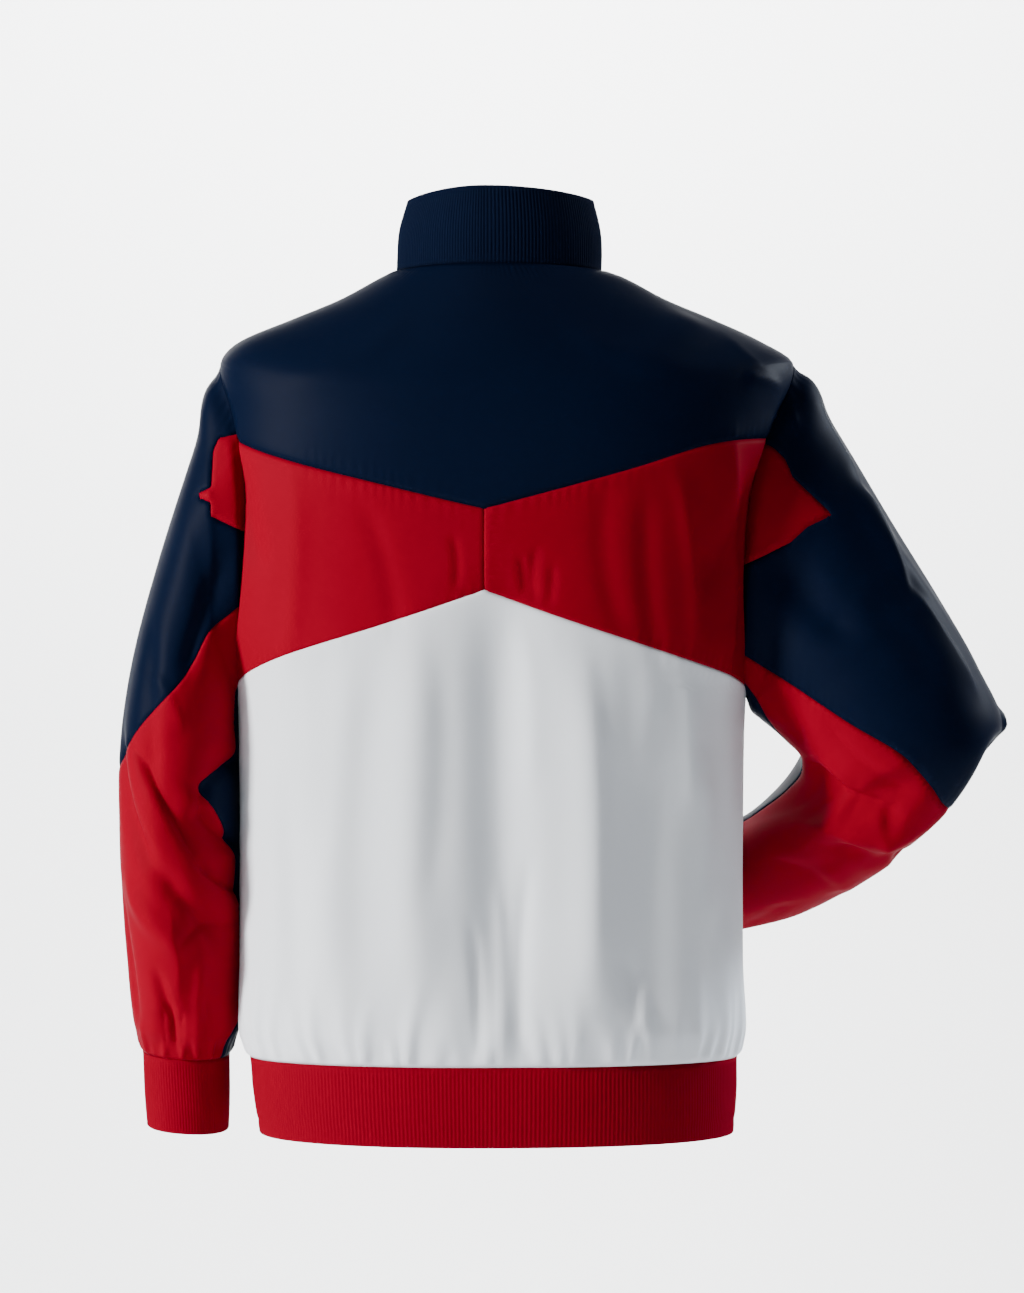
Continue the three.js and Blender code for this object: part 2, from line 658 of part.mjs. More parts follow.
// The box at the foot of the zip, the slider at its top, and the pull that hangs from it
function buildZipEnds() {
  const foot = frontLine(0, backLength - boxHeight / 2).point;
  const footY = foot.y + chainDepth + chainThickness / 2;
  const box = block(2 * chainHalfWidth, chainThickness, boxHeight, 0, footY, foot.z);
  addPiece('zip_box', geometryOf(box), materials.metal);
  const seat = frontLine(0, sliderHeight - collarHeight).point;
  const middleZ = seat.z + sliderHeight / 2;
  const plateBack = seat.y - seamGap;
  const plateFront = plateBack - plateThickness;
  const coreY = plateBack + coreThickness / 2 - fuse;
  const core = block(2 * coreHalfWidth, coreThickness, sliderHeight, 0, coreY, middleZ);
  let slider = block(sliderWidth, plateThickness, sliderHeight, 0, plateFront + plateThickness / 2, middleZ);
  slider = slider.add(core);
  const barY = plateFront - seamGap - pullBar;
  const barZ = middleZ + pullRise;
  const cheekX = pullWidth / 2 + seamGap + cheekWidth / 2;
  const cheekDeep = 2 * pullBar + seamGap + cheekMargin + 2 * fuse;
  for (const side of [-1, 1]) {
    const cheekY = plateFront + 2 * fuse - cheekDeep / 2;
    slider = slider.add(block(cheekWidth, cheekDeep, cheekHeight, side * cheekX, cheekY, barZ));
  }
  addPiece('zip_slider', geometryOf(slider), materials.metal);
  const bar = new THREE.CylinderGeometry(pullBar, pullBar, pullWidth, 12).rotateZ(Math.PI / 2);
  const tab = block(tabWidth, pullThickness, pullLength, 0, 0, -pullLength / 2);
  const pull = solidOf(bar).add(tab);
  addPiece('zip_pull', geometryOf(pull), materials.metal).position.set(0, barY, barZ);
}

// One sleeve as a surface: turn in degrees from the outer line over the back, along in
// millimetres from the armhole
function sleeveSurface(side, stations) {
  const armhole = (turn) => {
    const bodyTurn = 90 - armholeSpread * Math.sin(turn * toRadians);
    const point = bodyFace(side * bodyTurn, armholeDrop(turn)).point;
    point.x += side * seamGap;
    return point;
  };
  const middles = stations.map((row) => new THREE.Vector3(
    (row.outX + row.inX) / 2, row.midY, (row.outZ + row.inZ) / 2));
  const rings = stations.map((row, k) => {
    const before = middles[Math.max(k - 1, 0)];
    const after = middles[Math.min(k + 1, stations.length - 1)];
    const heading = after.clone().sub(before).normalize();
    const reach = new THREE.Vector3((row.outX - row.inX) / 2, 0, (row.outZ - row.inZ) / 2);
    const lean = reach.clone().cross(heading).normalize().multiplyScalar(side * row.deep);
    return { middle: middles[k], reach, lean };
  });
  const ringAt = (k, turn) => {
    if (k === 0) {
      return armhole(turn);
    }
    const around = superRing(turn * toRadians, sleeveSquare);
    const ring = rings[k - 1];
    const point = ring.middle.clone().addScaledVector(ring.reach, around.depth);
    return point.addScaledVector(ring.lean, around.side);
  };
  const alongs = [0, ...stations.map((row) => row.along)];
  return (turn, along) => {
    const table = alongs.map((place, k) => ({ place, ...ringAt(k, turn) }));
    const [x, y, z] = ['x', 'y', 'z'].map((axis) => between(table, 'place', axis, along));
    return new THREE.Vector3(x, y, z);
  };
}

// How much of the twist a column takes: all of it at the under-sleeve's back seam, and
// none at its front seam
function twistShare(column) {
  return column <= underTurn
    ? (column + underTurn) / (2 * underTurn)
    : (360 - underTurn - column) / (360 - 2 * underTurn);
}

// The sleeve's outer face by column and distance along
function sleeveFaces(sleeve) {
  const { side, stations, folds, twist, cuffTop, cuffEnd } = sleeve;
  const surface = sleeveSurface(side, stations);
  return (column, along) => {
    const turn = column + between(twist, 'along', 'turn', along) * twistShare(column);
    const near = Math.min(Math.max(along, 2), cuffEnd - 2);
    const normal = normalOf(surface, turn, near, 1, 2).multiplyScalar(-side);
    const folded = foldHeight(folds, sleeveArc, wrap(turn), along) * smoothStep((cuffTop - along) / cuffFade);
    const gathered = gatherHeight(cuffGathers, turn, cuffTop - along);
    const lift = (folded + gathered) * smoothStep(along / armholeFade);
    const point = surface(turn, along).addScaledVector(normal, lift);
    // At the armhole the wall's end lies flat against the body panels
    normal.x *= smoothStep(along / mitreReach);
    return { point, normal: normal.normalize() };
  };
}

// Everything on one side of a slanted plane that runs through the garment from front to
// back, as a large slab; over is 1 for the side above the seam and -1 for the side below
function slantSlab(slant, over) {
  const tilt = Math.atan(slant.slope);
  const slab = new THREE.BoxGeometry(slabSize, slabSize, slabSize);
  slab.translate(0, 0, over * (slabSize / 2 + half));
  slab.rotateY(-tilt);
  slab.translate(slant.x, 0, slant.z);
  return solidOf(slab);
}

// The outline of a sleeve's red point, grown a little all round and run through the back
// half of the sleeve
function pointPrism(corners, grow) {
  const outline = corners.map((corner) => new THREE.Vector2(corner.x, corner.z));
  const outward = THREE.ShapeUtils.isClockWise(outline) ? -1 : 1;
  const sideNormal = (from, to) => {
    const along = to.clone().sub(from).normalize();
    return new THREE.Vector2(along.y, -along.x).multiplyScalar(outward);
  };
  const count = outline.length;
  const shape = new THREE.Shape(outline.map((corner, k) => {
    const before = sideNormal(outline[(k + count - 1) % count], corner);
    const after = sideNormal(corner, outline[(k + 1) % count]);
    const stretch = grow / (1 + before.dot(after));
    return corner.clone().addScaledVector(before, stretch).addScaledVector(after, stretch);
  }));
  const prism = new THREE.ExtrudeGeometry(shape, { depth: pointDepth, bevelEnabled: false });
  prism.rotateX(Math.PI / 2);
  prism.translate(0, pointReach, 0);
  return solidOf(prism);
}

function buildSleeve(name, sleeve) {
  const { slant, point, cuffTop, cuffEnd } = sleeve;
  const face = sleeveFaces(sleeve);
  const sleeveRows = steps(sleeveRowCount).map((f) => f * (cuffTop - half));
  const halfTurns = armholeTurns.filter((turn) => turn <= underTurn);
  const mainTurns = [...halfTurns.slice(1).map((turn) => -turn).reverse(), ...halfTurns];
  const outer = solidOf(wall(face, mainTurns, sleeveRows, 0, shellWall));
  const upper = outer.intersect(slantSlab(slant, 1));
  const lower = outer.intersect(slantSlab(slant, -1));
  addPiece(`sleeve_upper_${name}`, geometryOf(upper.subtract(pointPrism(point, half))), materials.navy);
  addPiece(`sleeve_point_${name}`, geometryOf(upper.intersect(pointPrism(point, -half))), materials.red);
  addPiece(`sleeve_lower_${name}`, geometryOf(lower), materials.red);
  const underHalf = armholeTurns.filter((turn) => turn > underTurn);
  const firstTurn = underTurn + seamGap / sleeveArc;
  const otherHalf = underHalf.slice(0, -1).reverse().map((turn) => 360 - turn);
  const underTurns = [firstTurn, ...underHalf, ...otherHalf, 360 - firstTurn];
  addPiece(`under_sleeve_${name}`, wall(face, underTurns, sleeveRows, 0, shellWall), materials.navy);
  const cuff = (turn, b) => face(turn, cuffTop + half + (cuffEnd - cuffTop - half) * b);
  const cuffTurns = [...mainTurns.slice(0, -1), ...underTurns.slice(0, -1), 360 - underTurn];
  addPiece(`cuff_${name}`, wall(cuff, cuffTurns, steps(ribRows), 0, ribWall, true), materials.redRib);
}

buildBack();
buildFronts();
buildRibs();
buildZip();
buildSleeve('left', {
  side: 1, stations: leftSleeveStations, folds: leftSleeveFolds, twist: leftTwist,
  slant: leftSlant, point: leftPoint, cuffTop: leftCuffTop, cuffEnd: leftCuffEnd,
});
buildSleeve('right', {
  side: -1, stations: rightSleeveStations, folds: rightSleeveFolds, twist: rightTwist,
  slant: rightSlant, point: rightPoint, cuffTop: rightCuffTop, cuffEnd: rightCuffEnd,
});

export default group;
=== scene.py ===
import math
import json
import bpy
import numpy as np
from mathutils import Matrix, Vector

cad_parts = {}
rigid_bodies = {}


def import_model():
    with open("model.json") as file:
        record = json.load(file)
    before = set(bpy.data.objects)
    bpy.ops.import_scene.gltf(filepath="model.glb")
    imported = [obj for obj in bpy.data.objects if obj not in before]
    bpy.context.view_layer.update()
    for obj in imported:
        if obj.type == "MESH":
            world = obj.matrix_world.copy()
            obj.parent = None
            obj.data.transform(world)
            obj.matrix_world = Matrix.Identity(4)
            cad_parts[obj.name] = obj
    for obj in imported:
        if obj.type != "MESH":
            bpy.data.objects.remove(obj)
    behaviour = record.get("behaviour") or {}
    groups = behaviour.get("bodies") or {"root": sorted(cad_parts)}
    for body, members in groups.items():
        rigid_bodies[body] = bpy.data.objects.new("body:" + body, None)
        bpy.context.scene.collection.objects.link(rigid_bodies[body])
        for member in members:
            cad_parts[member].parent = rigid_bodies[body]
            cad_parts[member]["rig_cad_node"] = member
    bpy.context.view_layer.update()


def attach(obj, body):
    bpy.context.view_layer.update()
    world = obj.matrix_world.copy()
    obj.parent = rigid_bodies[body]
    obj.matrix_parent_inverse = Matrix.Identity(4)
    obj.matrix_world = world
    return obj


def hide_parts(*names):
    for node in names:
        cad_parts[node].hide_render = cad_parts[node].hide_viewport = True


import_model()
mm = 0.001          # the tables below are in millimetres
print("frame loaded")


def table(columns, *rows):
    return dict(zip(columns.split(), np.array(rows, float).T))


# body sections by drop below the collar seam, the same as the solids'
bodySections = table(
    "drop left right back front zBack zSide zFront square",
    (0, 72, 95, 52, 70, 0, -3, -62, 2), (12, 86, 114, 62, 80, -12, -10, -71, 2),
    (35, 117, 146, 80, 95, -35, -27, -92, 2), (65, 158, 187, 99, 112, -65, -44, -121, 2),
    (90, 200, 226, 111, 122, -90, -62, -144, 2.05), (105, 214, 250, 116, 126, -105, -78, -158, 2.15),
    (140, 212, 247, 121, 130, -140, -119, -190, 2.3), (190, 212, 236, 122, 134, -190, -176, -235, 2.45),
    (250, 211, 226, 120, 137, -250, -243, -290, 2.5), (300, 208, 219, 118, 139, -300, -300, -336, 2.5),
    (340, 201, 211, 117, 139, -340, -344, -372, 2.5), (450, 199, 209, 114, 138, -450, -452, -473, 2.5),
    (560, 199, 209, 115, 137, -560, -560, -573, 2.5), (615, 199, 210, 118, 136, -615, -614, -623, 2.5),
    (641, 191, 205, 112, 129, -641, -640, -647, 2.45), (665, 188, 204, 114, 130, -665, -664, -668, 2.45),
    (705, 183, 202, 112, 127, -705, -702, -705, 2.55))
bandSeams = {
    "right": table("across upper lower", (0, 200, 264), (0.42, 172, 303), (0.66, 157, 322), (1, 156.8, 340)),
    "left": table("across upper lower", (0, 200, 264), (0.44, 178, 301), (1, 156.8, 340))}
collarSections = table("height left right back front zBack zSide zFront",
                       (0, 72, 95, 52, 70, 0, -3, -62), (30, 70, 94, 52, 70, 31, 27, -33),
                       (61, 63, 89, 50, 67, 62, 54, -4))
cut = {"backLength": 705, "ribTop": 641, "collarHeight": 61, "shoulderDrop": 105, "armpitDrop": 340,
       "armholeSpread": 27, "bandTurn": 56, "underTurn": 148, "seamGap": 0.3, "zipHalfGap": 4,
       "shellThick": 0.7, "ribThick": 2.0, "bodyArc": 3.1, "sleeveArc": 1.2}


def through(places, values, at):
    # smooth curve through values, one for each place
    slope = np.empty_like(values)
    gap = np.diff(places).reshape((-1,) + (1,) * (values.ndim - 1))
    slope[1:-1] = (values[2:] - values[:-2]) / (gap[1:] + gap[:-1])
    slope[0] = (values[1] - values[0]) / gap[0]
    slope[-1] = (values[-1] - values[-2]) / gap[-1]
    i = np.clip(np.searchsorted(places, at, side="right") - 1, 0, len(places) - 2)
    span = places[i + 1] - places[i]
    f = np.clip((at - places[i]) / span, 0, 1)

    def pick(array, k):
        if array.ndim == 1:
            return array[k]
        return np.take_along_axis(array, k[None, ..., None], 0)[0]
    if values.ndim > 1:
        f, span = f[..., None], span[..., None]
    ends = (1 + 2 * f) * (1 - f) ** 2 * pick(values, i) + f * f * (3 - 2 * f) * pick(values, i + 1)
    return ends + f * (1 - f) * span * ((1 - f) * pick(slope, i) - f * pick(slope, i + 1))


def between(rows, place, column, at):
    return through(rows[place], rows[column], np.asarray(at, float))


def ease(x):
    f = np.clip(x, 0, 1)
    return f * f * (3 - 2 * f)


def unit(v):
    return v / np.maximum(np.linalg.norm(v, axis=-1, keepdims=True), 1e-9)


def wrap(turn):
    return (turn + 180) % 360 - 180


def superRing(turn, power):
    s, c = np.sin(np.radians(turn)), np.cos(np.radians(turn))
    grow = (np.abs(s) ** power + np.abs(c) ** power) ** (-1 / power)
    return s * grow, c * grow


def ringPoint(turn, read, power):
    s, c = superRing(turn, power)
    wide = np.where(s > 0, read("left"), read("right"))
    deep = np.where(c > 0, read("back"), read("front"))
    far = np.where(c > 0, read("zBack"), read("zFront"))
    middle = np.cos(np.radians(turn)) ** 2
    return np.stack([s * wide, c * deep, read("zSide") + (far - read("zSide")) * middle], -1)


def bodyNominal(turn, drop):
    def read(column):
        return between(bodySections, "drop", column, drop)
    return ringPoint(turn, read, read("square"))


def collarNominal(turn, height):
    point = ringPoint(turn, lambda column: between(collarSections, "height", column, height), 2)
    return point + np.array([0, 0, cut["seamGap"]])


def surfaceNormal(nominal, turn, down, step, end, sign=1):
    near = np.clip(down, 2, end - 2)
    along = nominal(turn + step, near) - nominal(turn - step, near)
    across = nominal(turn, near + 2) - nominal(turn, near - 2)
    return sign * unit(np.cross(along, across))


def bodyNormal(turn, drop):
    return surfaceNormal(bodyNominal, turn, drop, 0.5, cut["backLength"])


# folds: a bowed line on the cloth, from and to in degrees and millimetres; bow is how far its
# middle stands off the straight line; depth is out of the cloth
def foldTable(*rows):
    return table("turn start toTurn end bow width depth", *rows)


bodyFolds = foldTable(
    (-4, 270, -6, 610, 4, 22, -12), (-22, 320, -23, 600, -5, 18, 9), (14, 290, 15, 600, 5, 19, 6.5),
    (32, 320, 34, 580, 8, 24, 4), (-37, 380, -36, 610, 6, 18, -5), (-51, 400, -53, 540, -4, 14, 3),
    (49, 420, 46, 620, -6, 18, -4),
    (-68, 60, -30, 92, 0, 13, 3), (62, 175, 52, 250, 0, 13, -4), (-60, 180, -48, 262, 0, 13, -4),
    (158, 300, 160, 600, 5, 18, -5), (138, 360, 134, 590, -6, 22, 5), (118, 210, 130, 300, 0, 14, -4),
    (-156, 330, -159, 610, -6, 17, -5), (-136, 340, -132, 570, 7, 22, 5), (-118, 200, -131, 290, 0, 14, -4))

# finer creases of the back, x and z as seen from behind
backCreases = foldTable(
    (24, -222, 22, -262, 2, 4, -1.1), (-29, -238, -32, -268, 1, 4, -1.3),
    (-41, -232, -40, -272, -2, 4.5, -1.4), (-54, -244, -51, -276, 1, 4, -1.0),
    (96, -196, 70, -300, 6, 9, -1.3), (-96, -180, -110, -300, -8, 10, -1.4),
    (-152, -170, -168, -320, 6, 8, 1.8), (-128, -190, -140, -330, -5, 9, -1.6),
    (150, -170, 158, -330, 5, 9, 1.4), (38, -300, 46, -520, 9, 12, -1.7),
    (88, -330, 96, -600, -8, 14, -1.5), (-88, -310, -96, -560, 7, 10, -1.9),
    (-132, -330, -126, -600, -6, 12, 1.8), (-160, -330, -163, -440, 3, 8, 2.0),
    (-30, -290, -36, -420, 4, 9, 1.4), (128, -300, 140, -500, 8, 13, -1.6),
    (-184, -350, -180, -600, 3, 9, -1.8), (176, -360, 172, -610, -4, 10, -1.8),
    (-70, -58, -168, -86, -8, 10, 1.6), (66, -52, 160, -96, 9, 11, 1.4),
    (-36, -480, -30, -632, -3, 6, -2.2), (10, -530, 4, -636, 2, 5, -2.0),
    (-10, -500, -14, -630, 2, 5, 1.6), (-118, -560, -122, -636, 1, 5, -1.8))
frontCreases = foldTable(
    (52, -350, 58, -600, 4, 22, 4), (96, -360, 92, -600, -4, 18, -4), (-56, -360, -50, -600, -4, 20, 3.5),
    (-98, -350, -104, -610, 5, 22, -4.5), (-150, -380, -146, -600, 3, 24, 3),
    (70, -330, 62, -560, 7, 12, -1.8), (110, -350, 118, -600, -8, 14, 1.8),
    (150, -340, 144, -560, 6, 12, -1.7), (-64, -340, -72, -590, -7, 13, -1.7),
    (-108, -350, -100, -560, 8, 14, 1.7), (-150, -350, -158, -600, -5, 12, -1.8),
    (120, -180, 90, -300, 6, 10, -1.4), (-124, -190, -98, -310, -7, 11, -1.5),
    (66, -110, 150, -130, 8, 11, 1.4), (-70, -112, -172, -128, -9, 11, 1.5),
    (34, -460, 30, -640, 3, 6, -1.9), (-36, -500, -31, -640, -3, 6, -1.8))


def foldLift(folds, arc, turn, down):
    lift = np.zeros(np.broadcast(turn, down).shape)
    for a, b, toA, toB, bow, width, depth in zip(*folds.values()):
        ax, ay = toA * arc - a * arc, toB - b
        length = math.hypot(ax, ay)
        x, y = turn * arc - a * arc, down - b
        f = (x * ax + y * ay) / length ** 2
        away = (x * ay - y * ax) / length - bow * 4 * f * (1 - f)
        ends = ease((f + 0.15) / 0.4) * ease((1.15 - f) / 0.4)
        lift += depth * ends * np.exp(-(away / width) ** 2)
    return lift


# creases: lines seen from behind, x and z, with a sharp bottom or crest; near is the reach
# on the right of the line's direction and far that on its left
def creaseTable(*rows):
    return table("x z toX toZ bow near far depth", *rows)


def creaseLift(creases, x, z):
    lift = np.zeros(np.broadcast(x, z).shape)
    for ax, az, bx, bz, bow, near, far, depth in zip(*creases.values()):
        dx, dz = bx - ax, bz - az
        length = math.hypot(dx, dz)
        f = ((x - ax) * dx + (z - az) * dz) / length ** 2
        away = ((x - ax) * dz - (z - az) * dx) / length - bow * 4 * f * (1 - f)
        ends = ease((f + 0.12) / 0.35) * ease((1.12 - f) / 0.35)
        lift += depth * ends * np.exp(-(np.sqrt(away ** 2 + 1) - 1) / np.where(away > 0, near, far))
    return lift


bodyCreases = creaseTable((-198, -140, -193, -338, 2, 8, 22, 6), (205, -120, 200, -330, -3, 18, 5, 3),
                          (-208, -92, -238, -99, 1, 3, 7, 2.5), (-196, -60, -232, -92, -3, 5, 9, 2))


def sway(turn, down, size, seed):
    # slow unevenness of hung cloth
    x, y = np.radians(turn), down / 100
    wave = (np.sin(3 * x + 1.1 * y + seed) + 0.8 * np.sin(5 * x - 1.7 * y + 2 * seed)
            + 0.6 * np.sin(9 * x + 2.3 * y + seed))
    return size * wave / 2.4


# gathers stand above a rib: each is a narrow ridge that widens and fades upwards
gatherSet = {"hem": {"count": 66, "seed": 4, "reach": (20, 95), "width": (3.0, 6.5), "height": (1.2, 3.4)},
             "cuff": {"count": 20, "seed": 9, "reach": (16, 58), "width": (2.6, 5.5), "height": (1.2, 3.4)}}


def gatherField(kind, arc, turn, above):
    g = gatherSet[kind]
    rng = np.random.default_rng(g["seed"])
    step = 360 / g["count"]
    lift = np.zeros(np.broadcast(turn, above).shape)
    fade = ease(above / 6)
    for k in range(g["count"]):
        place = (k + rng.uniform(-0.35, 0.35)) * step - 180
        lean = rng.uniform(-0.16, 0.16)
        reach, width, height = (rng.uniform(*g[key]) for key in ("reach", "width", "height"))
        away = wrap(turn - place) * arc - lean * above
        wide = width * (1 + above / 70)
        lift += height * fade * (1 - ease(above / reach)) * np.exp(-(away / wide) ** 2)
    return np.where(above > 0, lift, 0)


def armholeValley(drop):
    # the armhole seam lies in a valley between body and sleeve
    f = (drop - cut["shoulderDrop"]) / (cut["armpitDrop"] - cut["shoulderDrop"])
    return 7.5 * ease((f - 0.03) / 0.3) * ease((1 - f) / 0.12)


def bodyLift(turn, drop):
    turn = wrap(turn)
    point = bodyNominal(turn, drop)
    x, z = point[..., 0], point[..., 2]
    back = ease((100 - np.abs(turn)) / 10)
    clearOfZip = ease((180 - np.abs(turn) - 5) / 6)
    fine = (foldLift(backCreases, 1, x, z) + creaseLift(bodyCreases, x, z)) * back
    fine += foldLift(frontCreases, 1, x, z) * (1 - back)
    fade = ease(drop / 25) * ease((cut["ribTop"] - 4 - drop) / 14)
    gathered = gatherField("hem", cut["bodyArc"], turn, cut["ribTop"] - drop)
    return (foldLift(bodyFolds, cut["bodyArc"], turn, drop)
            + ((fine + sway(turn, drop, 0.9, 1)) * fade + gathered) * clearOfZip)


def pucker(away, along, seed):
    wander = along / 1.15 + 2.1 * np.sin(along / 17 + seed) + 1.3 * np.sin(along / 7.3 + 2 * seed)
    strength = np.clip(0.35 + 0.65 * np.sin(along / 37 + 3 * seed), 0, 1)
    slow = 0.35 * np.sin(along / 8.5 + 1.4 * np.sin(along / 29 + seed))
    return 0.42 * strength * (np.sin(wander) + slow) * np.exp(-away / 6) * ease(away / 1.8)


def seamRoll(away):
    # the edge rolls in at a seam
    return -0.9 * np.exp(-(away / 1.4) ** 2)


def seamLine(away, along, seed):
    return pucker(away, along, seed) + seamRoll(away)


def makeMesh(name, points, closed=False, ringed=False, keep=None):
    # a grid of points, rows by columns; closed joins the columns, ringed the rows; keep marks its faces
    rows, columns = points.shape[:2]
    index = np.arange(rows * columns).reshape(rows, columns)
    if closed:
        index = np.concatenate([index, index[:, :1]], 1)
    if ringed:
        index = np.concatenate([index, index[:1]], 0)
    quads = np.stack([index[:-1, :-1], index[1:, :-1], index[1:, 1:], index[:-1, 1:]], -1).reshape(-1, 4)
    corners = points.reshape(-1, 3) * mm
    if keep is not None:
        used, quads = np.unique(quads[keep.ravel()], return_inverse=True)
        corners, quads = corners[used], quads.reshape(-1, 4)
    faces = quads.tolist()
    if ringed and not closed:
        faces += [index[:-1, 0].tolist(), index[:-1, -1][::-1].tolist()]
    mesh = bpy.data.meshes.new(name)
    mesh.from_pydata(corners.tolist(), [], faces)
    mesh.polygons.foreach_set("use_smooth", np.ones(len(mesh.polygons), bool))
    mesh.update()
    return mesh


def addPiece(name, mesh, material, slot, node=None, thick=0, body="jacket"):
    piece = bpy.data.objects.new(name + "_detail", mesh)
    bpy.context.scene.collection.objects.link(piece)
    mesh.materials.clear()
    mesh.materials.append(material)
    if thick:
        solid = piece.modifiers.new("thickness", "SOLIDIFY")
        solid.thickness = thick * mm
        solid.offset = -1
    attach(piece, body)
    if node:
        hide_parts(node)
    return piece


# materials

def shaderOf(name):
    material = bpy.data.materials.new(name)
    material.use_nodes = True
    nodes, links = material.node_tree.nodes, material.node_tree.links
    return material, nodes, links, nodes["Principled BSDF"]


def noiseNode(nodes, links, place, scale, detail):
    noise = nodes.new("ShaderNodeTexNoise")
    noise.inputs["Scale"].default_value = scale
    noise.inputs["Detail"].default_value = detail
    links.new(place.outputs["Object"], noise.inputs["Vector"])
    return noise


def bumpNode(nodes, links, height, strength, distance, under=None):
    bump = nodes.new("ShaderNodeBump")
    bump.inputs["Strength"].default_value = strength
    bump.inputs["Distance"].default_value = distance * mm
    links.new(height, bump.inputs["Height"])
    if under:
        links.new(under.outputs["Normal"], bump.inputs["Normal"])
    return bump


def mixColour(nodes, links, factor, a, b):
    mix = nodes.new("ShaderNodeMix")
    mix.data_type = "RGBA"
    mix.inputs["A"].default_value = (*a, 1)
    mix.inputs["B"].default_value = (*b, 1)
    links.new(factor, mix.inputs["Factor"])
    return mix.outputs["Result"]


def clothMaterial(name, dark, light, rough, shine, sheen, weave, crumple):
    material, nodes, links, shader = shaderOf(name)
    place = nodes.new("ShaderNodeTexCoord")
    tone = noiseNode(nodes, links, place, 14, 3)
    links.new(mixColour(nodes, links, tone.outputs["Fac"], dark, light), shader.inputs["Base Color"])
    large = bumpNode(nodes, links, noiseNode(nodes, links, place, 60, 3).outputs["Fac"], 0.25, crumple)
    fine = bumpNode(nodes, links, noiseNode(nodes, links, place, 1500, 1).outputs["Fac"], 0.3, weave, large)
    links.new(fine.outputs["Normal"], shader.inputs["Normal"])
    shader.inputs["Roughness"].default_value = rough
    shader.inputs["Specular IOR Level"].default_value = shine
    shader.inputs["Sheen Weight"].default_value = sheen
    shader.inputs["Sheen Roughness"].default_value = 0.5
    return material


def metalMaterial(name, dark, light, rough, metallic):
    material, nodes, links, shader = shaderOf(name)
    place = nodes.new("ShaderNodeTexCoord")
    tone = noiseNode(nodes, links, place, 300, 2)
    links.new(mixColour(nodes, links, tone.outputs["Fac"], dark, light), shader.inputs["Base Color"])
    shader.inputs["Metallic"].default_value = metallic
    shader.inputs["Roughness"].default_value = rough
    return material


navy = clothMaterial("navyShell", (0.0014, 0.0040, 0.0145), (0.0019, 0.0052, 0.0185), 0.5, 0.02, 0.0, 0.05, 0.5)
red = clothMaterial("redShell", (0.20, 0.0002, 0.0095), (0.225, 0.0003, 0.011), 0.55, 0.01, 0.0, 0.05, 0.5)
white = clothMaterial("whiteShell", (0.80, 0.835, 0.88), (0.84, 0.87, 0.91), 0.6, 0.05, 0.02, 0.05, 0.5)
navyRib = clothMaterial("navyRib", (0.0015, 0.0042, 0.0150), (0.0022, 0.0056, 0.0195), 0.9, 0.02, 0.02, 0.25, 0.3)
redRib = clothMaterial("redRib", (0.18, 0.0002, 0.0090), (0.205, 0.0003, 0.0105), 0.9, 0.02, 0.0, 0.25, 0.3)
tape = clothMaterial("zipTape", (0.0045, 0.009, 0.022), (0.006, 0.012, 0.028), 0.8, 0.03, 0.1, 0.2, 0.2)
teethPlastic = metalMaterial("teethPlastic", (0.006, 0.012, 0.03), (0.008, 0.015, 0.036), 0.35, 0)
zipMetal = metalMaterial("zipMetal", (0.38, 0.39, 0.40), (0.46, 0.47, 0.48), 0.32, 1)
print("materials made")


# body panels

def seamCurve(which):
    # the two sides meet in a sharp point on the centre line
    def drop(across):
        left, right = (between(bandSeams[half], "across", which, np.abs(across)) for half in ("left", "right"))
        return np.where(across > 0, left, right)
    return drop


def level(value):
    return lambda across: np.full(np.shape(across), float(value))


def armholeDrop(turn):
    half = (cut["armpitDrop"] - cut["shoulderDrop"]) / 2
    return cut["shoulderDrop"] + half * (1 - np.cos(np.radians(turn)))


def sideEdge(drop):
    f = np.clip((drop - cut["shoulderDrop"]) / (cut["armpitDrop"] - cut["shoulderDrop"]), 0, 1)
    return 90 - cut["armholeSpread"] * np.sqrt(np.maximum(1 - (1 - 2 * f) ** 2, 0))


def zipEdge(side, place, distance):
    # degrees from the centre front; place is a drop, or below zero a height up the collar
    wide = {}
    for half in ("left", "right"):
        body = between(bodySections, "drop", half, np.maximum(place, 0))
        collar = between(collarSections, "height", half, np.maximum(-np.asarray(place, float), 0))
        wide[half] = np.where(np.asarray(place) < 0, collar, body)
    return np.degrees(np.arcsin(distance / np.where(np.asarray(side) > 0, wide["left"], wide["right"])))


yokeRows = np.concatenate([np.linspace(0, cut["shoulderDrop"], 32)[:-1],
                           armholeDrop(np.linspace(0, cut["bandTurn"], 24))]) / armholeDrop(cut["bandTurn"])
bandRows = ((armholeDrop(np.linspace(cut["bandTurn"], 180, 58)) - armholeDrop(cut["bandTurn"]))
            / (cut["armpitDrop"] - armholeDrop(cut["bandTurn"])))
lowerRows = np.linspace(0, 1, 140)
atNeck, atRib = level(0), level(cut["ribTop"])
upperSeam, lowerSeam = seamCurve("upper"), seamCurve("lower")


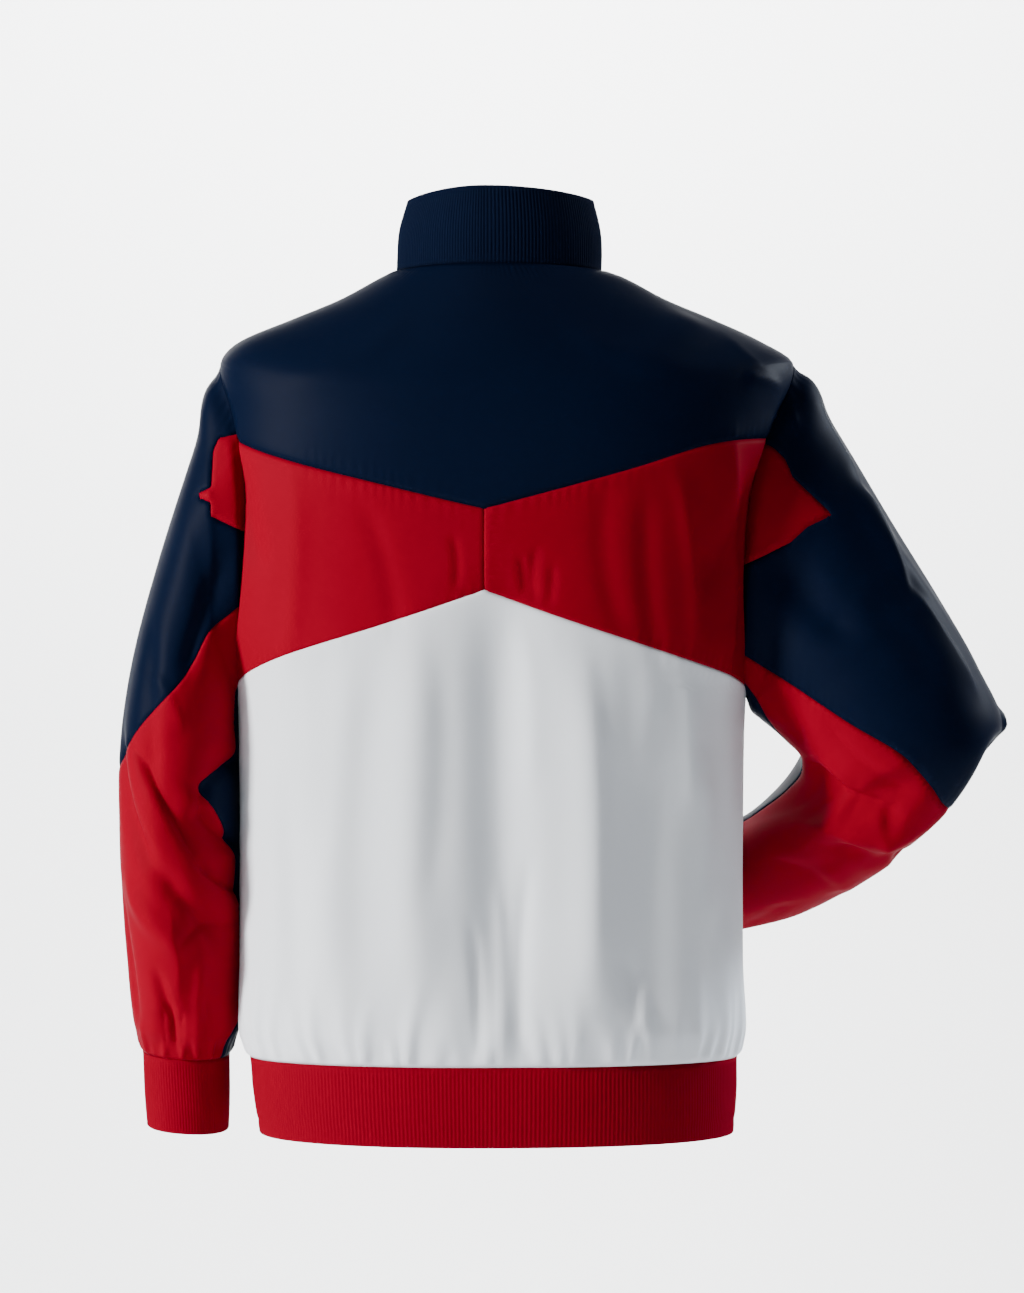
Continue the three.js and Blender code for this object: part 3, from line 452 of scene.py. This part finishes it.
def bodyPanel(name, side, top, bottom, span, columns, rows, material, slot, seed, seams):
    # side 0 is a back panel, 1 the left front and -1 the right front; seams says which edges are sewn
    arc = cut["bodyArc"]
    across = np.linspace(span[0], span[1], columns + 1)[None, :] + np.zeros((len(rows), 1))
    b = np.asarray(rows)[:, None] + np.zeros((1, columns + 1))
    upper, lower = top(across), bottom(across)
    drop = upper + (lower - upper) * b
    edge = sideEdge(drop)
    if side:
        zipLine = zipEdge(side, drop, cut["zipHalfGap"])
        fromCentre = zipLine * (1 - np.abs(across)) + edge * np.abs(across)
        turn = side * (180 - fromCentre)
        inner = (fromCentre - zipLine) * arc
    else:
        turn = across * edge
        inner = np.abs(across) * edge * arc
    outer = (1 - np.abs(across)) * edge * arc
    lift = bodyLift(turn, drop) - armholeValley(drop) * (1 - ease(outer / 17))
    along = wrap(turn) * arc
    gaps = {"top": (drop - upper, along), "bottom": (lower - drop, along),
            "side": (outer, drop), "inner": (inner, drop)}
    for k, seam in enumerate(seams):
        lift += seamLine(*gaps[seam], seed + k)
    points = bodyNominal(turn, drop) + bodyNormal(turn, drop) * lift[..., None]
    if side == 1:
        points = points[:, ::-1]
    piece = addPiece(name, makeMesh(name, points), material, slot, name, cut["shellThick"])
    return piece


bodyPanel("back_yoke", 0, atNeck, upperSeam, (-1, 1), 300, yokeRows, navy, "navy_shell", 1,
          ("top", "bottom"))
bodyPanel("back_band_left", 0, upperSeam, lowerSeam, (0, 1), 150, bandRows, red, "red_shell", 2,
          ("top", "bottom", "inner", "side"))
bodyPanel("back_band_right", 0, upperSeam, lowerSeam, (-1, 0), 150, bandRows, red, "red_shell", 3,
          ("top", "bottom", "inner", "side"))
bodyPanel("back_lower", 0, lowerSeam, atRib, (-1, 1), 200, lowerRows, white, "white_shell", 4,
          ("top", "bottom"))
for half, side, seed in (("left", 1, 5), ("right", -1, 9)):
    bodyPanel("front_yoke_" + half, side, atNeck, upperSeam, (0, side), 130, yokeRows, navy, "navy_shell", seed,
              ("top", "bottom"))
    bodyPanel("front_band_" + half, side, upperSeam, lowerSeam, (0, side), 130, bandRows, red,
              "red_shell", seed + 1, ("top", "bottom", "side"))
    bodyPanel("front_lower_" + half, side, lowerSeam, atRib, (0, side), 90, lowerRows[::2], white,
              "white_shell", seed + 2, ("top", "bottom"))
print("body panels made")


# sleeves: points of the outer and inner line, and the middle and half of the depth
stationColumns = "along outX outZ inX inZ midY deep"
sleeves = {
    "left": {
        "side": 1, "cuffTop": 431, "cuffEnd": 496, "press": 7,
        # the flat width and length of each cut in metres, and its area
        "cuts": {"upper": ((0.36, 0.30), 0.056), "point": ((0.085, 0.035), 0.0018), "lower": ((0.36, 0.43), 0.091),
                 "under": ((0.08, 0.43), 0.024)},
        "stations": table(
            stationColumns,
            (45, 238, -154, 204, -353, 0, 63), (95, 265, -238, 205, -374, 0, 72), (150, 286, -319, 205, -405, 1, 79),
            (205, 296, -392, 204, -446, 1, 81), (255, 296, -450, 204, -487, -1, 79), (305, 294, -504, 204, -527, -5, 74),
            (355, 290, -558, 204, -572, -11, 67), (405, 286, -610, 204, -617, -18, 57),
            (431, 280, -637, 209, -641, -21, 42), (496, 277, -699, 210, -703, -27, 38)),
        "slant": {"x": 198, "z": -281, "slope": -1.13, "curve": table(
            "x lift", (190, 2), (203, 5), (220, 9), (231, -1), (244, -6), (270, -4), (283, -6),
            (294, -13), (310, -15))},
        "point": ((180, -134), (213.6, -141), (218, -151), (219, -181), (232, -187), (219, -193.5),
                  (219, -204), (180, -223)),
        "twist": table("along turn", (0, 0), (100, 4), (138, 10), (158, -2), (176, -17), (190, -26),
                       (206, -11), (226, 4), (248, 12), (340, 14), (395, 10), (412, -2), (496, 0)),
        "folds": foldTable(
            (-45, 17, 45, 17, 0, 12, 6), (98, 22, 88, 120, 3, 11, -6), (20, 196, 78, 275, -6, 12, -7),
            (78, 275, 140, 322, 5, 12, -6), (40, 292, 104, 330, -4, 12, 5),
            (-98, 30, -88, 120, 3, 12, -5), (-38, 232, -120, 300, 6, 13, -6),
            (70, 352, 84, 412, 2, 9, -4), (20, 300, 36, 400, 4, 9, -3), (120, 330, 112, 418, -3, 8, 3),
            (46, 120, 70, 210, 6, 12, -2.5), (-60, 320, -90, 400, 5, 9, -3),
            (-40, 150, -70, 240, -5, 11, 2.5), (-110, 210, -60, 262, 4, 8, -3)),
        "creases": creaseTable(
            (284, -385, 227, -483, 0, 26, 2.5, -7), (229, -482, 198, -516, 0, 16, 2.5, -6),
            (202, -398, 226, -434, -3, 3, 12, -7), (226, -434, 202, -470, -3, 3, 12, -8),
            (252, -520, 246, -590, 3, 5, 16, 3), (246, -548, 210, -530, 4, 12, 3, -3),
            (222, -150, 221, -311, 2, 4, 14, 2.5), (264, -330, 240, -376, 3, 5, 12, 2.2),
            (261, -602, 258, -636, 0, 2.5, 5, -3), (253, -596, 250, -636, 1, 2.5, 6, -3.2),
            (243, -604, 244, -636, 0, 2.5, 6, -3), (228, -590, 224, -636, 2, 3, 7, -2.5))},
    "right": {
        "side": -1, "cuffTop": 472, "cuffEnd": 537, "press": 0,
        "cuts": {"upper": ((0.40, 0.42), 0.107), "point": ((0.11, 0.06), 0.0036), "lower": ((0.36, 0.42), 0.087),
                 "under": ((0.06, 0.47), 0.0125)},
        "stations": table(
            stationColumns,
            (45, -288, -138, -216, -360, 0, 64), (95, -329, -206, -224, -367, 2, 71),
            (150, -369, -271, -236, -376, 6, 76), (200, -399, -325, -247, -386, 11, 78),
            (245, -418, -372, -257, -397, 12, 76), (285, -394, -409, -258, -410, -2, 72),
            (330, -357, -452, -249, -422, -30, 65), (375, -317, -496, -235, -435, -65, 57),
            (415, -272, -526, -218, -450, -103, 50), (450, -226, -543, -195, -465, -138, 44),
            (472, -199, -549, -177, -479, -160, 37), (537, -148, -570, -126, -505, -196, 34)),
        "slant": {"x": -218, "z": -329, "slope": 0.575, "curve": table(
            "x lift", (-400, -20), (-368, -20), (-358, -13), (-346, -6), (-330, 0), (-290, 1), (-243, 6),
            (-210, 8))},
        "point": ((-195, -133), (-231, -148), (-241, -158), (-247, -173), (-279, -203), (-258, -213),
                  (-245, -225), (-195, -250)),
        "twist": table("along turn", (0, 0), (70, 6), (160, 27), (260, 32), (360, 24), (537, 0)),
        "folds": foldTable(
            (-45, 17, 45, 17, 0, 12, 6), (96, 20, 84, 130, 3, 11, -6), (34, 60, 30, 170, 3, 11, 4),
            (132, 266, 84, 262, -3, 10, -6), (128, 288, 66, 300, 4, 11, 5),
            (112, 316, 52, 330, -4, 10, -5), (-114, 268, -60, 250, 3, 12, -5),
            (-98, 34, -84, 130, 3, 12, -5), (20, 250, 36, 312, 0, 18, -18), (30, 300, 40, 336, 0, 14, -7),
            (90, 345, 40, 372, 4, 9, 3), (70, 120, 62, 200, -5, 12, -2.5), (-60, 200, -30, 262, 4, 9, -3),
            (-80, 300, -40, 330, 4, 9, 3), (60, 400, 30, 440, 3, 8, -2.5), (-6, 239, 6, 245, 0, 8, 5)),
        "creases": creaseTable(
            (-300, -180, -338, -265, 2, 3, 18, 5), (-338, -262, -392, -345, 3, 3, 20, 5),
            (-248, -84, -249, -136, -2, 3, 10, 4), (-262, -110, -300, -176, 3, 5, 14, 2.5),
            (-250, -396, -290, -430, 0, 2.5, 36, -11), (-288, -429, -334, -442, 0, 2.5, 30, -8),
            (-312, -444, -326, -476, 2, 5, 14, 4), (-272, -372, -336, -424, -4, 5, 22, -4),
            (-292, -432, -344, -398, 5, 8, 8, 3), (-235, -344, -256, -396, 4, 8, 14, -3),
            (-250, -452, -330, -486, 8, 5, 16, 3.5), (-236, -484, -296, -516, 6, 5, 14, -3.5))},
}


def sleeveShape(s):
    side, stations = s["side"], s["stations"]
    outer = np.stack([stations["outX"], 0 * stations["outX"], stations["outZ"]], -1)
    inner = np.stack([stations["inX"], 0 * stations["inX"], stations["inZ"]], -1)
    middle = (outer + inner) / 2
    middle[:, 1] = stations["midY"]
    reach = (outer - inner) / 2
    k = np.arange(len(middle))
    heading = unit(middle[np.minimum(k + 1, len(k) - 1)] - middle[np.maximum(k - 1, 0)])
    lean = unit(np.cross(reach, heading)) * side * stations["deep"][:, None]
    places = np.concatenate([[0], stations["along"]])

    def armhole(turn):
        bodyTurn = side * (90 - cut["armholeSpread"] * np.sin(np.radians(turn)))
        drop = armholeDrop(turn)
        lift = bodyLift(bodyTurn, drop) - armholeValley(drop) + seamRoll(0)
        point = bodyNominal(bodyTurn, drop) + bodyNormal(bodyTurn, drop) * lift[..., None]
        return point + np.array([side * cut["seamGap"], 0, 0])

    def nominal(turn, along):
        around, depth = superRing(turn, 2.2)
        flat = (slice(None),) + (None,) * np.ndim(turn)
        rings = middle[flat] + reach[flat] * depth[None, ..., None] + lean[flat] * around[None, ..., None]
        return through(places, np.concatenate([s["ring"](turn)[None], rings]), along)

    # the armhole's ring is read from a table of its turns
    tableTurns = np.linspace(-190, 380, 1141)
    ringTable = armhole(tableTurns)
    s["ring"] = lambda turn: np.stack([np.interp(turn, tableTurns, ringTable[:, i]) for i in range(3)], -1)

    def surface(column, along, extra=0, deep=0):
        # the under-sleeve's back seam turns towards the front by the twist
        under = cut["underTurn"]
        overShare = (column + under) / (2 * under)
        underShare = (360 - under - column) / (360 - 2 * under)
        share = np.where(column <= under, overShare, underShare)
        turn = column + between(s["twist"], "along", "turn", along) * share
        folds = foldLift(s["folds"], cut["sleeveArc"], wrap(turn), along) + sway(turn, along, 0.8, 2 + side)
        bare = nominal(turn, along)
        onBack = ease((85 - np.abs(wrap(turn - 90))) / 20)
        folds += creaseLift(s["creases"], bare[..., 0], bare[..., 2]) * onBack
        # the inner side lies against the body
        pressed = np.exp(-(wrap(turn - 160) / 34) ** 2) * ease(along / 45) * ease((425 - along) / 40)
        folds += s["press"] * pressed
        gathers = gatherField("cuff", cut["sleeveArc"], wrap(turn), s["cuffTop"] - along)
        fade = ease(along / 14)
        puff = armholeValley(armholeDrop(turn)) * 0.8 * ease(along / 10) * (1 - ease((along - 10) / 45))
        lift = (folds * ease((s["cuffTop"] - along) / 16) + gathers) * fade + puff + extra - deep
        normal = surfaceNormal(nominal, turn, along, 1, s["cuffEnd"], -side)
        flatEnd = normal * np.stack([ease(along / 25), np.ones_like(along), np.ones_like(along)], -1)
        return bare + unit(flatEnd) * lift[..., None]
    return surface


def slantAway(s, point):
    slant = s["slant"]
    x = point[..., 0]
    line = slant["z"] + slant["slope"] * (x - slant["x"]) + between(slant["curve"], "x", "lift", x)
    return (line - point[..., 2]) / math.hypot(1, slant["slope"])


def outlineAway(s, point):
    # distance from the red point's outline, below zero inside it
    corners = np.array(s["point"], float)
    x, z = point[..., 0], point[..., 2]
    away = np.full(x.shape, 1e9)
    inside = np.zeros(x.shape, bool)
    for (ax, az), (bx, bz) in zip(corners, np.roll(corners, -1, 0)):
        f = np.clip(((x - ax) * (bx - ax) + (z - az) * (bz - az)) / ((bx - ax) ** 2 + (bz - az) ** 2), 0, 1)
        away = np.minimum(away, np.hypot(x - ax - f * (bx - ax), z - az - f * (bz - az)))
        crosses = (az > z) != (bz > z)
        inside ^= crosses & (x < ax + (z - az) * (bx - ax) / np.where(bz == az, 1, bz - az))
    away = np.where(inside, -away, away)
    return np.where(point[..., 1] > 10, away, np.abs(away) + 10)


def snapped(field, turn, along):
    # shifts of the grid's points beside the line where the field is zero, onto it
    inside = field[:-1, :-1] + field[1:, :-1] + field[:-1, 1:] + field[1:, 1:] < 0
    pad = np.pad(inside, 1, mode="edge")
    near = np.stack([pad[:-1, :-1], pad[1:, :-1], pad[:-1, 1:], pad[1:, 1:]])
    onLine = near.any(0) & ~near.all(0)
    down, across = np.gradient(field, along[:, 0], turn[0] * cut["sleeveArc"])
    size = np.maximum(down ** 2 + across ** 2, 0.1)
    step = np.clip(np.where(onLine, field, 0) / size, -2.2, 2.2)
    return step * across / cut["sleeveArc"], step * down, inside


def sleeveCloth(s, surface, turn, along, seed):
    point = surface(turn, along)
    extra = pucker(along, turn * cut["sleeveArc"], seed) + seamRoll(s["cuffTop"] - along)
    extra += seamLine(np.abs(slantAway(s, point)), point[..., 0] * 1.2, seed + 1)
    extra += seamLine(np.abs(np.abs(wrap(turn)) - cut["underTurn"]) * cut["sleeveArc"], along, seed + 2)
    extra += seamRoll(np.abs(outlineAway(s, point))) * ease(along / 6)
    points = surface(turn, along, extra)
    return points[:, ::-1] if s["side"] > 0 else points


def sleevePiece(name, s, points, keep, material, slot, flat, area):
    if keep is not None and s["side"] > 0:
        keep = keep[:, ::-1]
    piece = addPiece(name, makeMesh(name, points, keep=keep), material, slot, name, cut["shellThick"])
    return piece


# rib knit: a wall with rounded ends whose faces are ribbed; place gives its surface
def ribProfile(length, rows):
    thick = cut["ribThick"]
    radius = thick / 2
    down = np.linspace(0, length - radius, rows)
    bend = np.radians(np.linspace(22, 158, 5))
    inside = down[::-3][:-1]
    levels = np.concatenate([down, length - radius + radius * np.sin(bend), inside, [0]])
    deep = np.concatenate([0 * down, radius - radius * np.cos(bend), 0 * inside + thick, [thick]])
    return levels, deep


def ribWall(name, place, phase, length, rows, material, slot, closed=False, flip=False):
    # place(deep, level) gives points over all columns, phase counts the ribs
    down, deep = ribProfile(length, rows)
    ends = ease(down / 5) * (0.45 + 0.55 * ease((length - down) / 5))
    groove = 0.5 * (1 - np.abs(np.sin(np.pi * phase)) ** 0.8)
    outward = np.cos(np.pi * deep / cut["ribThick"])
    points = np.stack([place(down[i], deep[i] + groove * ends[i] * outward[i]) for i in range(len(down))])
    if flip:
        points = points[:, ::-1]
    mesh = makeMesh(name, points, closed, True)
    piece = addPiece(name, mesh, material, slot, name)
    return piece


def sleeveCuff(name, s, surface, ribs):
    turns = np.linspace(-cut["underTurn"], 360 - cut["underTurn"], ribs * 5 + 1)[:-1]
    start = s["cuffTop"] + cut["seamGap"]

    def place(down, deep):
        along = np.full(turns.shape, start + down)
        belly = 0.9 * math.sin(math.pi * min(down / 60, 1))
        return surface(turns, along, belly, deep)
    return ribWall(name, place, turns / 360 * ribs, s["cuffEnd"] - start, 18, redRib, "red_rib", True,
                   s["side"] > 0)


def buildSleeve(half):
    s = sleeves[half]
    surface = sleeveShape(s)
    under = cut["underTurn"]
    end = s["cuffTop"] - 0.1
    rows = np.concatenate([np.linspace(0, 125, 64)[:-1], np.linspace(125, end, 112)])
    turn, along = np.meshgrid(np.linspace(-under, under, 227), rows)
    bare = surface(turn, along)
    slantTurn, slantAlong, above = snapped(slantAway(s, bare), turn, along)
    pointTurn, pointAlong, inPoint = snapped(outlineAway(s, bare), turn, along)
    snappedAlong = np.clip(along - slantAlong - pointAlong, 0, end)
    points = sleeveCloth(s, surface, turn - slantTurn - pointTurn, snappedAlong, 21)
    name = "_" + half
    parts = {"upper": (above & ~inPoint, navy, "navy_shell"), "point": (inPoint, red, "red_shell"),
             "lower": (~above, red, "red_shell")}
    for part, (keep, material, slot) in parts.items():
        sleevePiece("sleeve_" + part + name, s, points, keep, material, slot, *s["cuts"][part])
    edge = cut["seamGap"] / cut["sleeveArc"]
    turn, along = np.meshgrid(np.linspace(under + edge, 360 - under - edge, 31), np.linspace(0, end, 130))
    sleevePiece("under_sleeve" + name, s, sleeveCloth(s, surface, turn, along, 24), None, navy, "navy_shell",
                *s["cuts"]["under"])
    sleeveCuff("cuff" + name, s, surface, 92)


buildSleeve("left")
buildSleeve("right")
print("sleeves made")


# hem rib and collar, each from one zip edge round the back to the other
def ringTurns(u, place):
    return u * (180 - zipEdge(np.sign(u) + (u == 0), np.full(u.shape, float(place)), cut["zipHalfGap"]))


hemRibs, collarRibs = 370, 190
hemAcross = np.linspace(-1, 1, hemRibs * 4 + 1)
collarAcross = np.linspace(-1, 1, collarRibs * 5 + 1)


def hemPlace(down, deep):
    drop = np.full(hemAcross.shape, cut["ribTop"] + cut["seamGap"] + down)
    turn = ringTurns(hemAcross, drop[0])
    belly = 0.9 * math.sin(math.pi * min(down / 60, 1))
    groove = 0.7 * math.exp(-(down - 53) ** 2 / 3)
    lift = bodyLift(turn, drop) + belly - groove
    return bodyNominal(turn, drop) + bodyNormal(turn, drop) * (lift - deep)[..., None]


def collarPlace(up, deep):
    height = np.full(collarAcross.shape, float(up))
    turn = ringTurns(collarAcross, -up)
    normal = surfaceNormal(collarNominal, turn, height, 0.5, cut["collarHeight"], -1)
    belly = 0.8 * math.sin(math.pi * min(up / 58, 1))
    lift = belly + 0.5 * np.sin(np.radians(turn) * 2.5 + up / 24) * ease(up / 15)
    under = np.array([0, 0, -1.4]) * (1 - ease(up / 8))
    return collarNominal(turn, height) + under + normal * (lift - deep)[..., None]


ribLength = cut["backLength"] - cut["ribTop"] - cut["seamGap"]
ribWall("hem_rib", hemPlace, (hemAcross + 1) / 2 * hemRibs, ribLength, 13, redRib, "red_rib")
ribWall("collar", collarPlace, (collarAcross + 1) / 2 * collarRibs, cut["collarHeight"], 18, navyRib,
        "navy_rib", flip=True)
print("ribs made")


# zip: everything lies on the line of the centre front
def frontLine(offset, place):
    side = np.where(np.asarray(offset) < 0, -1, 1)
    turn = 180 - side * zipEdge(side, place, np.abs(offset))
    body = np.maximum(place, 0)
    height = np.maximum(-place, 0)
    bodyFace = bodyNominal(turn, body) + bodyNormal(turn, body) * foldLift(
        bodyFolds, cut["bodyArc"], wrap(turn), body)[..., None]
    collarNormal = surfaceNormal(collarNominal, turn, height, 0.5, cut["collarHeight"], -1)
    low = (place < 0)[..., None]
    point = np.where(low, collarNominal(turn, height), bodyFace)
    # the bend at the neck is a mitre, eased over a few millimetres
    blend = ease((place + 5) / 10)[..., None]
    normal = unit(collarNormal * (1 - blend) + bodyNormal(turn, body) * blend)
    return point, normal


def frontPoint(offset, place, deep):
    offset, place = np.broadcast_arrays(np.asarray(offset, float), np.asarray(place, float))
    point, normal = frontLine(offset, place)
    return point - normal * np.asarray(deep)[..., None]


zipTop, zipBottom = cut["seamGap"] - cut["collarHeight"], cut["backLength"] - cut["seamGap"]
for half, side in (("left", 1), ("right", -1)):
    offsets = side * np.linspace(2.9, 15, 9)[None, :]
    places = np.linspace(zipTop, zipBottom, 260)[:, None]
    points = frontPoint(offsets, places, 2.6)
    name = "zip_tape_" + half
    mesh = makeMesh(name, points if side < 0 else points[:, ::-1])
    piece = addPiece(name, mesh, tape, "zip_tape", name, 1.0)


def boxMesh(name, centres, axes, sizes):
    # many small boxes; axes are the across, out and down directions
    corners = np.array([(x, y, z) for x in (-1, 1) for y in (-1, 1) for z in (-1, 1)], float) / 2
    across, out, down = axes
    wide, thick, tall = (corners[:, [k]] * sizes[k] for k in range(3))
    points = centres[:, None] + (across[:, None] * wide + out[:, None] * thick + down[:, None] * tall)
    quads = np.array([(0, 1, 3, 2), (4, 6, 7, 5), (0, 4, 5, 1), (2, 3, 7, 6), (0, 2, 6, 4), (1, 5, 7, 3)])
    faces = (quads[None] + 8 * np.arange(len(centres))[:, None, None]).reshape(-1, 4)
    mesh = bpy.data.meshes.new(name)
    mesh.from_pydata((points.reshape(-1, 3) * mm).tolist(), [], faces.tolist())
    mesh.update()
    return mesh


toothPitch = 2.6
toothPlaces = np.arange(13.3 - cut["collarHeight"] + 1.5, cut["backLength"] - 9.3 - 1.5, toothPitch / 2)
toothSides = np.where(np.arange(len(toothPlaces)) % 2 == 0, 1.0, -1.0)
centres = frontPoint(toothSides * 0.75, toothPlaces, 0.6 + 1.2)
before, after = frontPoint(0, toothPlaces - 1, 1.8), frontPoint(0, toothPlaces + 1, 1.8)
down = unit(after - before)
across = np.tile(np.array([1.0, 0, 0]), (len(down), 1))
out = unit(np.cross(down, across))
toothMesh = boxMesh("zip_chain", centres, (across, out, down), (3.3, 2.2, 1.0))
teeth = addPiece("zip_chain", toothMesh, teethPlastic, "zip_teeth", "zip_chain")
soft = teeth.modifiers.new("soft edges", "BEVEL")
soft.width = 0.3 * mm
soft.segments = 1

# slider, box and pull keep the solids' form with softened edges
for node, slot in (("zip_slider", "zip_metal"), ("zip_box", "zip_metal"), ("zip_pull", "zip_metal")):
    part = bpy.data.objects[node] if node in bpy.data.objects else next(
        o for o in bpy.data.objects if o.get("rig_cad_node") == node)
    part.data.materials.clear()
    part.data.materials.append(zipMetal)
    edge = part.modifiers.new("soft edges", "BEVEL")
    edge.width = 0.25 * mm
    edge.segments = 2
    edge.limit_method = "ANGLE"
print("zip made")


# a row of stitches beside each front edge holds the zip
def stitches(name, side, material, slot):
    places = np.arange(8, cut["ribTop"] - 6, 3.2)
    offset = side * (cut["zipHalfGap"] + 6)
    turn = 180 - side * zipEdge(side, places, abs(offset))
    normal = bodyNormal(turn, places)
    point = bodyNominal(turn, places) + normal * (bodyLift(turn, places) + 0.1)[..., None]
    down = unit(np.gradient(point, axis=0))
    axes = (unit(np.cross(down, normal)), normal, down)
    return addPiece(name, boxMesh(name, point, axes, (0.5, 0.4, 2.2)), material, slot)


for half, side in (("left", 1), ("right", -1)):
    stitches("zip_stitches_" + half, side, tape, "navy_shell")
print("stitching made")


# floor and backdrop, lights and camera

def backdropMaterial():
    material, nodes, links, shader = shaderOf("paleBackdrop")
    place = nodes.new("ShaderNodeTexCoord")
    tone = noiseNode(nodes, links, place, 0.7, 1)
    links.new(mixColour(nodes, links, tone.outputs["Fac"], (0.86, 0.865, 0.87), (0.88, 0.885, 0.89)),
              shader.inputs["Base Color"])
    shader.inputs["Roughness"].default_value = 0.95
    return material


def backdrop():
    floorZ, wallY, radius = -1.45, -5.2, 1.0
    bend = np.radians(np.linspace(0, 90, 24))
    bendY = wallY + radius - radius * np.sin(bend)
    bendZ = floorZ + radius - radius * np.cos(bend)
    curve = [(9.0, floorZ), *zip(bendY, bendZ), (wallY, 7.0)]
    points = np.array([[(x, y, z) for x in (-9.0, 9.0)] for y, z in curve]) / mm
    sheet = bpy.data.objects.new("backdrop", makeMesh("backdrop", points))
    sheet.data.materials.append(backdropMaterial())
    bpy.context.scene.collection.objects.link(sheet)


def areaLight(name, place, target, size, power, colour):
    data = bpy.data.lights.new(name, "AREA")
    data.shape = "RECTANGLE"
    data.size, data.size_y = size
    data.energy = power
    data.color = colour
    light = bpy.data.objects.new(name, data)
    light.location = place
    light.rotation_euler = (Vector(target) - Vector(place)).to_track_quat("-Z", "Y").to_euler()
    bpy.context.scene.collection.objects.link(light)


backdrop()
middle = (0, 0, -0.35)
areaLight("key", (3.2, 1.5, 0.8), middle, (0.7, 1.0), 285, (1.0, 0.99, 0.98))
areaLight("fill", (0.9, 3.6, 0.2), middle, (1.8, 1.8), 9, (0.94, 0.97, 1.0))
areaLight("rim", (-2.5, -1.1, 1.0), (-0.1, 0, -0.15), (0.9, 0.9), 135, (0.85, 0.92, 1.0))
areaLight("top", (0.3, 0.3, 2.6), middle, (1.6, 1.6), 8, (1.0, 1.0, 1.0))
areaLight("backdropLight", (0, -3.0, 1.6), (0, -5.2, 0.4), (3.6, 0.9), 520, (1.0, 1.0, 1.0))
areaLight("front", (1.7, -2.9, 0.9), middle, (1.2, 1.2), 26, (1.0, 0.99, 0.98))
world = bpy.data.worlds.new("paleRoom")
bpy.context.scene.world = world
world.use_nodes = True
world.node_tree.nodes["Background"].inputs["Color"].default_value = (0.9, 0.93, 1.0, 1)
world.node_tree.nodes["Background"].inputs["Strength"].default_value = 0.11

camera = bpy.data.objects.new("camera", bpy.data.cameras.new("camera"))
camera.location = (-0.022, 3.718, -0.3085)
camera.rotation_euler = (math.radians(90), 0, math.radians(180))
camera.data.sensor_fit = "AUTO"
camera.data.sensor_width = 36
camera.data.lens = 127.2
camera.data.clip_end = 50
bpy.context.scene.collection.objects.link(camera)
bpy.context.scene.camera = camera
print("light and camera set")
